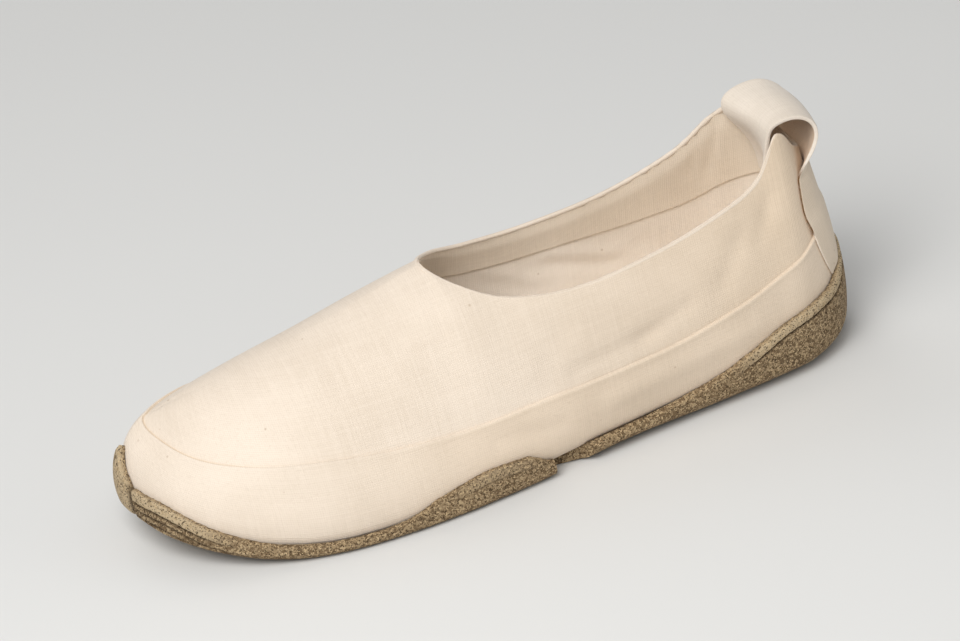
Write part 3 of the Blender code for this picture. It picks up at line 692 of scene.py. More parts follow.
def face_out(piece, inside):
    """Turns an open sheet so that its faces look away from a point inside."""
    mesh = piece.data
    total = 0.0
    middle = Vector((inside - CENTRE) * MM)
    for face in mesh.polygons:
        total += face.normal.dot(face.center - middle) * face.area
    if total < 0:
        bpy.ops.object.mode_set(mode="EDIT")
        bpy.ops.mesh.select_all(action="SELECT")
        bpy.ops.mesh.flip_normals()
        bpy.ops.mesh.select_all(action="DESELECT")
        bpy.ops.object.mode_set(mode="OBJECT")


def lay_thickness(piece, shares):
    """Gives every corner of a sheet its share of the full thickness."""
    group = piece.vertex_groups.new(name="thickness")
    shares = np.asarray(shares).ravel()
    for share in np.unique(shares):
        group.add([int(k) for k in np.nonzero(shares == share)[0]], float(share), "REPLACE")


def thicken(piece, thickness, offset, rim):
    """Gives a sheet its wall: the reverse has the finishes two slots on, and the rim those so many on."""
    solid = piece.modifiers.new("wall", "SOLIDIFY")
    solid.thickness = thickness * MM
    solid.offset = offset
    solid.vertex_group = "thickness"
    solid.material_offset = 2
    solid.material_offset_rim = rim


def apply_all(piece):
    """Applies the modifiers and drops the shares of thickness that they used."""
    bpy.context.view_layer.objects.active = piece
    for modifier in list(piece.modifiers):
        bpy.ops.object.modifier_apply(modifier=modifier.name)
    piece.vertex_groups.clear()


def finish_piece(piece, slot, *nodes):
    """Smooth faces, the CAD nodes that the piece stands for, and the body it rides on; the slot is not used."""
    select_only(piece)
    bpy.ops.object.shade_smooth()
    if nodes:
        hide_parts(*nodes)
    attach(piece, "root")


class Graph:
    """Short way to lay out the nodes of a material or a group."""

    def __init__(self, tree):
        self.tree = tree

    def add(self, kind, settings=None, **inputs):
        node = self.tree.nodes.new(kind)
        for key, value in (settings or {}).items():
            setattr(node, key, value)
        for key, value in inputs.items():
            self.put(node.inputs[key.replace("_", " ")], value)
        return node

    def put(self, socket, value):
        if isinstance(value, bpy.types.NodeSocket):
            self.tree.links.new(value, socket)
        else:
            socket.default_value = value

    def math(self, operation, a, b=0.0, clamp=False):
        node = self.tree.nodes.new("ShaderNodeMath")
        node.operation = operation
        node.use_clamp = clamp
        self.put(node.inputs[0], a)
        self.put(node.inputs[1], b)
        return node.outputs[0]

    def mix(self, factor, a, b, blend="MIX"):
        node = self.tree.nodes.new("ShaderNodeMix")
        node.data_type = "RGBA"
        node.blend_type = blend
        self.put(node.inputs["Factor"], factor)
        self.put(node.inputs[6], a)
        self.put(node.inputs[7], b)
        return node.outputs[2]

    def range(self, value, low, high, to_low=0.0, to_high=1.0):
        node = self.tree.nodes.new("ShaderNodeMapRange")
        self.put(node.inputs["Value"], value)
        for key, bound in (("From Min", low), ("From Max", high), ("To Min", to_low), ("To Max", to_high)):
            node.inputs[key].default_value = bound
        return node.outputs[0]

    def noise(self, place, scale, detail, flat=False, **more):
        settings = {"noise_dimensions": "2D" if flat else "3D"}
        return self.add("ShaderNodeTexNoise", settings, Vector=place, Scale=scale, Detail=detail, **more).outputs

    def cells(self, place, scale):
        return self.add("ShaderNodeTexVoronoi", {"feature": "F1"}, Vector=place, Scale=scale).outputs

    def parts(self, colour):
        return self.add("ShaderNodeSeparateColor", Color=colour).outputs

    def attribute(self, name):
        return self.add("ShaderNodeAttribute", {"attribute_name": name}).outputs["Fac"]

    def bump(self, height, strength, distance, settings=None, **more):
        node = self.add("ShaderNodeBump", settings, Height=height, Strength=strength, Distance=distance, **more)
        return node.outputs[0]

    def shifted(self, place, by, amount):
        node = self.add("ShaderNodeVectorMath", {"operation": "MULTIPLY_ADD"})
        self.put(node.inputs[0], by)
        node.inputs[1].default_value = amount
        self.put(node.inputs[2], place)
        return node.outputs[0]


def new_group(name, inputs, outputs):
    """A fresh shader group: its graph, what it is given and what it puts out."""
    group = bpy.data.node_groups.new(name, "ShaderNodeTree")
    for label, kind, default in inputs:
        socket = group.interface.new_socket(name=label, in_out="INPUT", socket_type=kind)
        if default is not None:
            socket.default_value = default
    for label, kind in outputs:
        group.interface.new_socket(name=label, in_out="OUTPUT", socket_type=kind)
    graph = Graph(group)
    return graph, group.nodes.new("NodeGroupInput").outputs, group.nodes.new("NodeGroupOutput").inputs


def new_material(name, specular):
    """A fresh material: itself, its graph, its shader's sockets and every point's place on the object."""
    material = bpy.data.materials.new(name)
    material.use_nodes = True
    graph = Graph(material.node_tree)
    sockets = material.node_tree.nodes["Principled BSDF"].inputs
    sockets["Specular IOR Level"].default_value = specular
    return material, graph, sockets, graph.add("ShaderNodeTexCoord").outputs["Object"]


def opaque(colour, factor=1.0):
    """A colour with its alpha, made lighter or darker by a factor."""
    return (*np.minimum(np.array(colour) * np.array(factor), 1.0), 1.0)


def weave_group():
    """Plain weave with uneven threads, on a map in units of 10 mm."""
    known = bpy.data.node_groups.get("plain_weave")
    if known:
        return known
    graph, given, out = new_group(
        "plain_weave",
        [("Map", "NodeSocketVector", None), ("Threads", "NodeSocketFloat", 12.5)],
        [("Height", "NodeSocketFloat"), ("Thread", "NodeSocketFloat"), ("Slub", "NodeSocketFloat")])
    wobble = graph.noise(given["Map"], 2.4, 2.0, flat=True)["Color"]
    split = graph.add("ShaderNodeSeparateXYZ", Vector=graph.shifted(given["Map"], wobble, (0.05, 0.05, 0.0)))
    sines = [graph.math("SINE", graph.math("MULTIPLY", graph.math("MULTIPLY", part, given["Threads"]), math.pi))
             for part in (split.outputs[0], split.outputs[1])]
    over = graph.math("MULTIPLY_ADD", graph.math("MULTIPLY", *sines), 2.0, True)
    over.node.inputs[2].default_value = 0.5
    warp, weft = [graph.math("ABSOLUTE", sine) for sine in sines]
    one = graph.math("MULTIPLY", warp, graph.math("POWER", weft, 0.35))
    two = graph.math("MULTIPLY", weft, graph.math("POWER", warp, 0.35))
    rise = graph.math("ADD", graph.math("MULTIPLY", over, one),
                      graph.math("MULTIPLY", graph.math("SUBTRACT", 1.0, over), two))
    slubs = []
    for stretch in ((9.0, 0.35, 1.0), (0.35, 9.0, 1.0)):
        mapped = graph.add("ShaderNodeMapping", Vector=given["Map"], Scale=stretch)
        slubs.append(graph.range(graph.noise(mapped.outputs[0], 1.0, 3.0, flat=True)["Fac"], 0.42, 0.72))
    slub = graph.math("ADD", slubs[0], graph.math("MULTIPLY", slubs[1], 0.7))
    height = graph.math("MULTIPLY_ADD", slub, 0.55)
    graph.put(height.node.inputs[2], rise)
    graph.put(out["Height"], height)
    graph.put(out["Thread"], rise)
    graph.put(out["Slub"], slub)
    return graph.tree


def cloth_material(name, colour, pitch, depth, tint=PAINTED_SHADE_TINT, tinted="painted_shade"):
    """Matte woven canvas: thread relief with painted shade in its hollows, slubs, a few seeds, slow unevenness of the
    dye, painted shade by the tint where an attribute asks for it, a soft nap.
    """
    material, graph, sockets, spot = new_material(name, 0.22)
    woven = graph.add("ShaderNodeGroup", {"node_tree": weave_group()})
    graph.put(woven.inputs["Map"], graph.add("ShaderNodeUVMap", {"uv_map": "cloth"}).outputs[0])
    woven.inputs["Threads"].default_value = CLOTH_UNIT / pitch
    weave = woven.outputs
    cloud = graph.noise(spot, 22.0, 3.0, Roughness=0.55)["Fac"]
    grain = graph.noise(spot, 900.0, 2.0)["Fac"]
    seed = graph.cells(spot, 120.0)
    seeds = graph.math("MULTIPLY", graph.range(seed["Distance"], 0.04, 0.08, 0.5, 0.0),
                       graph.range(graph.parts(seed["Color"])[0], 0.66, 0.70))
    light = opaque(colour, 1.05)
    shade = opaque(colour, (0.90, 0.885, 0.86))
    grain_and_painted_shade = opaque(colour, (0.80, 0.77, 0.72))
    tone = graph.mix(graph.range(cloud, 0.32, 0.68), shade, light)
    # Darker where the threads dip: painted shade in the hollows of the weave.
    tone = graph.mix(graph.range(weave["Thread"], 0.0, 0.55, 0.42, 0.0), tone, grain_and_painted_shade)
    tone = graph.mix(graph.math("MULTIPLY", weave["Slub"], 0.28), tone, light)
    tone = graph.mix(graph.range(grain, 0.56, 0.72, 0.0, 0.22), tone, grain_and_painted_shade)
    tone = graph.mix(seeds, tone, opaque(colour, (0.55, 0.47, 0.38)))
    # Multiplies in the tint where the attribute asks for it: painted shade.
    tone = graph.mix(graph.attribute(tinted), tone, tint, blend="MULTIPLY")
    graph.put(sockets["Base Color"], tone)
    graph.put(sockets["Roughness"], graph.range(weave["Thread"], 0.0, 1.0, 0.95, 0.80))
    sockets["Sheen Weight"].default_value = 0.18
    sockets["Sheen Roughness"].default_value = 0.45
    graph.put(sockets["Normal"], graph.bump(weave["Height"], 0.55, depth))
    return material


def edge_material(name, light, dark, low, high):
    """Cut edge of the strip: dark brown between two heights, partly the edge's own colour and partly painted shadow of
    the gap along it; pale where it is turned under.
    """
    material, graph, sockets, spot = new_material(name, 0.2)
    height = graph.add("ShaderNodeSeparateXYZ", Vector=spot).outputs[2]
    fray = graph.noise(spot, 700.0, 2.0)["Fac"]
    # Dark between the seam and the strip's top: partly the edge's own colour, partly painted shadow of the gap along
    # it.
    above = graph.range(height, (low - 2.0) * MM, low * MM)
    below = graph.range(height, (high + 4.0) * MM, high * MM)
    dark_edge_and_painted_shadow = graph.math("MULTIPLY", graph.math("MULTIPLY", above, below), graph.range(fray, 0.2, 0.5, 0.7, 1.0))
    pale = graph.mix(fray, opaque(light, 0.86), opaque(light, 1.08))
    graph.put(sockets["Base Color"], graph.mix(dark_edge_and_painted_shadow, pale, opaque(dark)))
    graph.put(sockets["Roughness"], graph.range(fray, 0.3, 0.7, 0.75, 0.95))
    graph.put(sockets["Normal"], graph.bump(fray, 0.4, 0.0001))
    return material


def fibre_material(colours, fleck):
    """Plant-fibre composite: golden flecks and dark specks pressed in a brown ground, with painted shade in the side
    grooves and along the tread lines.
    """
    material, graph, sockets, spot = new_material("fibre_composite_sole", 0.3)
    bend = graph.noise(spot, 420.0, 2.0)["Color"]
    place = graph.shifted(spot, bend, (fleck * 0.9, fleck * 0.9, fleck * 0.9))
    cell = graph.cells(place, 1.0 / fleck)
    kind = graph.parts(cell["Color"])
    tiny = graph.parts(graph.cells(place, 2.1 / fleck)["Color"])
    cloud = graph.noise(spot, 55.0, 3.0)["Fac"]
    ground = graph.mix(graph.range(cloud, 0.3, 0.7), opaque(colours.fibre, 0.82), opaque(colours.fibre, 1.22))
    tan = 0.45 * np.array(colours.fibre) + 0.55 * np.array(colours.fleck)
    speck = opaque(colours.speck)
    tone = graph.mix(graph.range(kind[0], 0.45, 0.62), ground, opaque(tan))
    tone = graph.mix(graph.math("MULTIPLY", graph.attribute("welt"), 0.72), tone, opaque(colours.welt))
    tone = graph.mix(graph.range(kind[1], 0.80, 0.88), tone, opaque(colours.fleck))
    tone = graph.mix(graph.range(tiny[2], 0.78, 0.86, 0.0, 0.85), tone, speck)
    tone = graph.mix(graph.range(tiny[0], 0.92, 0.95, 0.0, 0.9), tone, opaque(colours.fleck, 1.35))
    # The side grooves darken to the specks' colour: painted shade.
    tone = graph.mix(graph.math("MULTIPLY", graph.attribute("groove"), 0.78, True), tone, speck)
    turns = graph.math("MULTIPLY", graph.attribute("tread_phase"), 2.0 * math.pi / TREAD_PITCH)
    wave = graph.range(graph.math("COSINE", turns), -0.4, 1.0)
    line = graph.math("MULTIPLY", wave, graph.attribute("tread_shown"))
    # The tread lines darken to the specks' colour: painted shade, beside their bump.
    tone = graph.mix(graph.math("MULTIPLY", line, 0.55), tone, speck)
    graph.put(sockets["Base Color"], tone)
    graph.put(sockets["Roughness"], graph.range(kind[1], 0.6, 1.0, 0.92, 0.66))
    rise = graph.math("ADD", graph.math("MULTIPLY", cell["Distance"], -0.8), graph.math("MULTIPLY", tiny[1], 0.5))
    pressed = graph.bump(line, 1.0, 0.0006, {"invert": True})
    graph.put(sockets["Normal"], graph.bump(rise, 0.7, fleck * 0.30, Normal=pressed))
    return material


def board_material(colour):
    """Near-black board with a fine nap."""
    material, graph, sockets, spot = new_material("dark_board_nap", 0.25)
    nap = graph.noise(spot, 1400.0, 3.0)["Fac"]
    cloud = graph.noise(spot, 40.0, 2.0)["Fac"]
    tone = graph.mix(nap, opaque(colour, 0.6), opaque(colour, 1.7))
    tone = graph.mix(graph.range(cloud, 0.4, 0.7, 0.0, 0.35), tone, opaque(colour, 2.2))
    graph.put(sockets["Base Color"], tone)
    graph.put(sockets["Roughness"], graph.range(nap, 0.3, 0.7, 0.78, 0.92))
    graph.put(sockets["Normal"], graph.bump(nap, 0.35, 0.0002))
    return material


def floor_material(colour):
    """Plain matte floor, very slightly uneven."""
    material, graph, sockets, spot = new_material("plain_floor", 0.5)
    cloud = graph.noise(spot, 3.0, 4.0)["Fac"]
    graph.put(sockets["Base Color"], graph.mix(cloud, opaque(colour, 0.985), opaque(colour, 1.015)))
    sockets["Roughness"].default_value = 0.9
    return material


def cloth_map(last, rings):
    """Place on the cloth of every point of the rings: along the shoe from the toe, and up from the edge."""
    ring = rings[len(rings) // 3]
    step = np.linalg.norm(np.diff(ring, axis=0, append=ring[:1])[:, :2], axis=1)
    run = np.concatenate([[0.0], np.cumsum(step)])[:-1]
    from_toe = np.abs(run - run[last.half])
    along = from_toe[None, :] - (rings[:, :, 0] - ring[None, :, 0])
    rise = np.linalg.norm(np.diff(rings, axis=0)[:, :, 1:], axis=2)
    up = np.concatenate([np.zeros((1, last.count)), np.cumsum(rise, axis=0)])
    return np.stack([along, up], axis=2)


def closed_row(rings):
    """Rings with their first column once more at the end."""
    return np.concatenate([rings, rings[:, :1]], axis=1)


def raise_outside(piece):
    """Moves the outside of a thickened sheet by its relief, so that the inside stays even."""
    mesh = piece.data
    points = np.empty(3 * len(mesh.vertices), dtype=np.float32)
    moves = np.empty_like(points)
    mesh.vertices.foreach_get("co", points)
    mesh.attributes["relief"].data.foreach_get("vector", moves)
    outside = len(points) // 2
    points[:outside] += moves[:outside]
    mesh.vertices.foreach_set("co", points)
    mesh.attributes.remove(mesh.attributes["relief"])
    mesh.update()


def wall_plan(last, bead):
    """Rings up the wall: the share of the way up and how proud each is, the rings that take the seam's painted shadow
    line, and the facing's first.
    """
    seam = last.share_at(last.seam_z)
    speed = last.speed_at(seam)
    fold = last.share_at(monotone(FOLDS, "row", "z", last.row))
    fold = np.maximum(np.minimum(fold, FOLD_MOST), seam + FOLD_LEAST * (1.0 - seam))
    room = np.minimum(1.0, (1.0 - seam) * speed / SEAM_ROOM)
    foot = seam - SEAM_BELOW / speed
    plan = [(foot * step, BAND_STEP * float(smoothstep(0.0, BAND_RISE, step)))
            for step in np.linspace(0.0, 1.0, BAND_RINGS)]
    # Rings about the seam that take the painted shadow line.
    seam_shadow_rings = [len(plan) + k for k, away in enumerate(SEAM_EDGE["away"]) if SEAM_SHADOW_SPAN[0] < away < SEAM_SHADOW_SPAN[1]]
    plan += [(seam + away / speed * (room if away > 0 else 1.0), BAND_STEP * step + bead * swell)
             for away, step, swell in SEAM_EDGE.tolist()]
    low = plan[-1][0]
    fold_half = FOLD_HALF / (last.speed_at(fold) / room)
    plan += [(low + (fold - fold_half - low) * step, 0.0) for step in np.linspace(0.0, 1.0, PANEL_RINGS)[1:]]
    first_facing = len(plan)
    start = fold + fold_half
    plan += [(fold, 0.0), (start, 0.0)]
    rim_speed = last.speed_at(np.full(last.count, RIM_SHARE)) / room
    high = 1.0 - RIM_START / rim_speed
    plan += [(start + (high - start) * step, 0.0) for step in np.linspace(0.0, 1.0, FACING_RINGS)[1:]]
    plan += [(1.0 - away / rim_speed, 0.0) for away in RIM_RINGS]
    return plan, seam_shadow_rings, first_facing


class SHOE_OT_upper(bpy.types.Operator):
    """Sew the hollow canvas upper with its band, its facing and its lining"""

    bl_idname = "shoe.upper"
    bl_label = "Upper"

    def execute(self, context):
        sizes = context.scene.shoe_sizes
        colours = context.scene.shoe_colours
        last = Last(sizes.finer)
        wall = sizes.wall / MM
        facing = sizes.facing / MM
        plan, seam_shadow_rings, first_facing = wall_plan(last, sizes.bead / MM)
        under = len(MARGIN_SHARES)
        margin = last.by_side(MARGINS, "x", last.edge[:, 0])
        rings = [last.inset(margin * step) for step in MARGIN_SHARES]
        thick = [np.full(last.count, wall) for _ in rings]
        moves = [np.zeros((last.count, 3)) for _ in rings]
        near_ridge = last.row > THROAT_ROW
        tip = np.exp(-((last.row - THROAT_ROW) / TIP_HALF) ** 2)
        behind_throat = 1.0 - smoothstep(*FACING_ENDS, last.row)
        for number, (share, proud) in enumerate(plan):
            here = last.at(share)
            x, z = here[:, 0], here[:, 2]
            loose = SLACK * ripple(x, z * SLACK_STRETCH, 2.0 + last.outer) - near_lines(CREASES, x, z, last.outer)
            if abs(proud) > 0:
                loose = loose + BAND_WAVE * np.sin(x * 0.33) * np.sin(x * 0.071 + 1.0)
            raised = proud + loose * np.where(near_ridge, smoothstep(1.0, RIM_FROM, share), 1.0)
            rings.append(here)
            moves.append(last.normal_at(share) * raised[:, None])
            folds = near_lines(LINING_FOLDS, x, z, last.outer)
            if number >= first_facing:
                inside = wall + facing * behind_throat - FACING_FOLD * folds
            else:
                inside = wall - LINING_FOLD * folds
            thin = np.where(near_ridge, 0.0, smoothstep(RIM_FROM, 1.0, share))
            least = CLOTH_LEAST + np.maximum(-raised, 0.0)
            kept = 1.0 - TIP_THIN * tip * smoothstep(*TIP_SHARES, share)
            thick.append(np.maximum(inside - (facing + RIM_THIN) * thin, least) * kept)
        rings = np.stack(rings)
        thick = np.stack(thick)
        piece = start_grid("upper_canvas", last.count, len(rings) - 1)
        lay_points(piece, closed_row(rings))
        lay_pattern(piece, closed_row(cloth_map(last, rings)))
        # Painted shade: the panel darkens towards the heel and the band low on the side.
        in_band = smoothstep(1.0, -1.0, rings[:, :, 2] - last.seam_z)
        painted_shade = smoothstep(*PAINTED_SHADE_PANEL, rings[:, :, 0]) * (1.0 - in_band)
        painted_shade = painted_shade + in_band * PAINTED_SHADE_BAND_MOST * smoothstep(*PAINTED_SHADE_BAND, rings[:, :, 0])
        # The seam's rings at the toe end darken too: a thin painted shadow line along the band's edge.
        seam_shadow_rings = [under + k for k in seam_shadow_rings]
        painted_shade[seam_shadow_rings] = np.maximum(painted_shade[seam_shadow_rings], smoothstep(*PAINTED_SEAM_SHADOW, rings[seam_shadow_rings, :, 0]))
        lay_value(piece, "painted_shade", closed_row(painted_shade))
        relief = piece.data.attributes.new("relief", "FLOAT_VECTOR", "POINT")
        relief.data.foreach_set("vector", (closed_row(np.stack(moves)) * MM).ravel())
        canvas = cloth_material("cream_canvas", colours.canvas, sizes.weave, 0.00012)
        # The lining's and facing's colours carry painted light for the dim inside, and painted shade on the facing.
        lining = cloth_material("lining_canvas", colours.lining, sizes.weave, 0.00008, FAINT_SHADE_TINT)
        inner = cloth_material("facing_canvas", colours.facing, sizes.weave, 0.00010, FAINT_SHADE_TINT)
        for material in (canvas, canvas, lining, inner):
            piece.data.materials.append(material)
        row, column = np.divmod(np.arange(len(piece.data.polygons)), last.count)
        in_facing = (row >= under + first_facing) & (last.row[column] < FACING_LAST)
        piece.data.polygons.foreach_set("material_index", in_facing.astype(np.int32))
        deepest = float(thick.max())
        lay_thickness(piece, np.round(closed_row(thick) / deepest, 2))
        sew(piece)
        face_out(piece, INSIDE)
        thicken(piece, deepest, -1.0, 0)
        apply_all(piece)
        raise_outside(piece)
        finish_piece(piece, "natural_canvas", "upper")
        return {"FINISHED"}


class SHOE_OT_collar(bpy.types.Operator):
    """Roll the folded edge along the collar"""

    bl_idname = "shoe.collar"
    bl_label = "Collar roll"

    def execute(self, context):
        sizes = context.scene.shoe_sizes
        colours = context.scene.shoe_colours
        last = Last(sizes.finer)
        on_outer = last.outer & (last.row <= THROAT_ROW)
        on_inner = ~last.outer & (last.row < THROAT_ROW)
        order = np.nonzero(on_outer | on_inner)[0]
        row = last.row[order]
        rim = last.at(np.ones(last.count))[order]
        normal = last.normal_at(np.full(last.count, ROLL_SHARE))[order]
        # The columns run together at the tip of the throat, so the direction there follows from both sides of it.
        steady = np.nonzero(THROAT_ROW - row > THROAT_TIP)[0]
        normal = np.stack([np.interp(np.arange(len(order)), steady, part[steady]) for part in normal.T], axis=1)
        normal = unit(sum(np.roll(normal, k, axis=0) for k in range(-ROLL_SMOOTH, ROLL_SMOOTH + 1)))
        tangent = unit(np.roll(rim, -1, axis=0) - np.roll(rim, 1, axis=0))
        normal = unit(normal - tangent * np.sum(normal * tangent, axis=1)[:, None])
        beyond = np.cross(tangent, normal)
        if np.sum(beyond[:, 2]) < 0:
            beyond = -beyond
        run = np.concatenate([[0.0], np.cumsum(np.linalg.norm(np.diff(rim, axis=0), axis=1))])
        throat = np.exp(-((THROAT_ROW - row) / ROLL_THROAT_HALF) ** 2)
        thinner = ROLL_THROAT_THIN * throat + ROLL_HEEL_THIN * smoothstep(*ROLL_HEEL_ROWS, row)
        half = sizes.roll / MM / 2.0 * (1.0 - thinner)
        loose = ROLL_WAVE * np.sin(run * 0.9) * np.sin(run * 0.23 + 0.6) * (1.0 - throat)
        far = ~last.outer[order] & (rim[:, 0] < ROLL_FAR_END)
        loose = loose + np.where(far, ROLL_FAR_WAVE * np.sin(run * 1.05 + np.sin(run * 0.37)), 0.0)
        rows = []
        pattern = []
        for angle in np.linspace(0.0, 2.0 * math.pi, ROLL_SIDES + 1)[:-1]:
            side = math.cos(angle)
            rise = math.sin(angle)
            tall = 1.0 if rise > 0 else ROLL_LONG
            away = half * side - ROLL_IN
            up = (half * 0.9 + loose * 0.6) * rise * tall - ROLL_DOWN
            rows.append(rim + normal * (away - loose * (side < 0) * 0.5)[:, None] + beyond * up[:, None])
            pattern.append(np.stack([run, angle * half], axis=1))
        rows = np.stack(rows + rows[:1])
        pattern = np.stack(pattern + [np.stack([run, 2.0 * math.pi * half], axis=1)])
        piece = start_grid("collar_roll", len(order), ROLL_SIDES)
        lay_points(piece, closed_row(rows))
        lay_pattern(piece, closed_row(pattern))
        # A shade lighter than the canvas: painted highlight on the folded edge of the collar.
        painted_highlight_canvas = opaque(colours.canvas, 1.01)[:3]
        piece.data.materials.append(cloth_material("collar_canvas", painted_highlight_canvas, sizes.weave, 0.00010))
        sew(piece)
        finish_piece(piece, "natural_canvas")
        return {"FINISHED"}


class SHOE_OT_insole(bpy.types.Operator):
    """Lay the dark insole board in the upper, with its cloth cover"""

    bl_idname = "shoe.insole"
    bl_label = "Insole"

    def execute(self, context):
        sizes = context.scene.shoe_sizes
        colours = context.scene.shoe_colours
        last = Last(INSOLE_COLUMNS)
        wall = sizes.wall / MM
        half = INSOLE_REACH * np.abs(last.edge[:, 1] - np.roll(last.edge[::-1, 1], 1)) / 2.0
        level = []
        for inset, rise in INSOLE_RINGS.tolist():
            ring = last.inset(INSOLE_INSET + np.minimum(inset, half))
            slope = bed(ring[:, 0] + 1.0) - bed(ring[:, 0])
            ring[:, 2] += (wall + INSOLE_GAP) * np.hypot(1.0, slope) + sizes.insole / MM * rise
            level.append(ring)
        curl = []
        for part, inset in COVER_RINGS.tolist():
            share = np.full(last.count, part)
            curl.append(last.at(share) - last.normal_at(share) * (wall + inset))
        rings = np.stack(level[:INSOLE_SIDE] + curl + level[INSOLE_SIDE:])
        partner = (-np.arange(last.count)) % last.count
        for end in (0, -1):
            rings[end] = (rings[end] + rings[end][partner]) / 2.0
        piece = start_grid("insole_board", last.count, len(rings) - 1)
        lay_points(piece, closed_row(rings))
        lay_pattern(piece, closed_row(rings)[:, :, :2])
        piece.data.materials.append(board_material(colours.board))
        piece.data.materials.append(cloth_material("insole_cover", colours.lining, sizes.weave, 0.00008))
        covered = np.arange(len(piece.data.polygons)) // last.count >= INSOLE_SIDE
        piece.data.polygons.foreach_set("material_index", covered.astype(np.int32))
        sew(piece)
        finish_piece(piece, "dark_board", "insole")
        return {"FINISHED"}


def flap_line(last):
    """Nearness of every column to the line where the flap over the tip of the toe begins."""
    return np.exp(-((last.row - FLAP_LINE) / FLAP_LINE_HALF) ** 2)


def side_grooves(last, high, reach, below_top):
    """Shares of a full groove and of the welt on the sole's side, so many mm below its top in every column."""
    below = below_top - np.minimum(WELT, WELT_SHARE * (high + reach))
    toe = smoothstep(*TOE_ROWS, last.row) * (1.0 - smoothstep(*FLAP_ROWS, last.row))
    shown = np.maximum(smoothstep(*WELT_SHOWN, high), toe)
    total = shown * np.exp(-(below / GROOVE_HALF) ** 2)
    for step in range(1, TOE_GROOVES + 1):
        total = total + toe * np.exp(-((below - step * TOE_PITCH) / GROOVE_HALF) ** 2)
    total = np.maximum(total, flap_line(last) * smoothstep(high + reach, 0.5 * (high + reach), below_top))
    flap = smoothstep(FLAP_LINE, FLAP_LINE + FLAP_LINE_HALF, last.row)
    return total, np.maximum(shown * smoothstep(0.0, -0.6, below), flap * smoothstep(0.4, 0.0, below - high))


def edge_distance(x, y, outline):
    """Distance of points to a closed outline."""
    nearest = np.full(x.shape, 1e6)
    points = np.asarray(outline)
    for a, b in zip(points, np.roll(points, -1, axis=0)):
        run = b - a
        length = float(run @ run)
        if length == 0.0:
            continue
        t = np.clip(((x - a[0]) * run[0] + (y - a[1]) * run[1]) / length, 0.0, 1.0)
        nearest = np.minimum(nearest, np.hypot(x - a[0] - t * run[0], y - a[1] - t * run[1]))
    return nearest


def tread(x, y, border):
    """Lines under the sole: mm across the nearest line, how far it shows, and the depth of the single grooves."""
    to_slot = edge_distance(x, y, SLOT)
    to_waist = edge_distance(x, y, WAIST)
    single = to_slot - LINE_INSET
    others = [to_waist - LINE_INSET]
    for row in LINES:
        run = np.array([row["x1"] - row["x0"], row["y1"] - row["y0"]])
        length = np.hypot(*run)
        along = ((x - row["x0"]) * run[0] + (y - row["y0"]) * run[1]) / length
        across = ((y - row["y0"]) * run[0] - (x - row["x0"]) * run[1]) / length
        others.append(np.where((along > 0.0) & (along < length), across, LINE_FAR))
    for away in others:
        single = np.where(np.abs(away) < np.abs(single), away, single)
    clear = smoothstep(*LINE_CLEAR, np.abs(single))
    for rim in (border, to_slot, to_waist):
        clear = clear * smoothstep(*BORDER_CLEAR, rim)
    phase = np.hypot(x - FAN[0], y - FAN[1])
    shown = clear * smoothstep(*FAN_EDGE, y - np.interp(x, *FAN_FROM)) * smoothstep(*FAN_START, x)
    for row in FIELDS:
        turn = math.radians(row["turn"])
        along = (x - row["x"]) * math.cos(turn) + (y - row["y"]) * math.sin(turn)
        across = (y - row["y"]) * math.cos(turn) - (x - row["x"]) * math.sin(turn)
        beyond = np.maximum(np.abs(along) - (row["long"] - row["wide"]), 0.0)
        radius = np.hypot(beyond, across) / row["wide"]
        mask = clear * smoothstep(*FIELD_FADE, radius)
        mask = mask * (1.0 - row["ends"] * (1.0 - smoothstep(*ENDS_FADE, np.abs(along) / row["long"])))
        phase = np.where(mask > shown, radius * row["wide"], phase)
        shown = np.maximum(mask, shown)
    close = np.abs(single) < LINE_CLEAR[0]
    phase = np.where(close, single, phase)
    shown = np.where(close, smoothstep(*LINE_FADE, np.abs(single)), shown)
    return phase, shown, np.exp(-(single / LINE_HALF) ** 2)


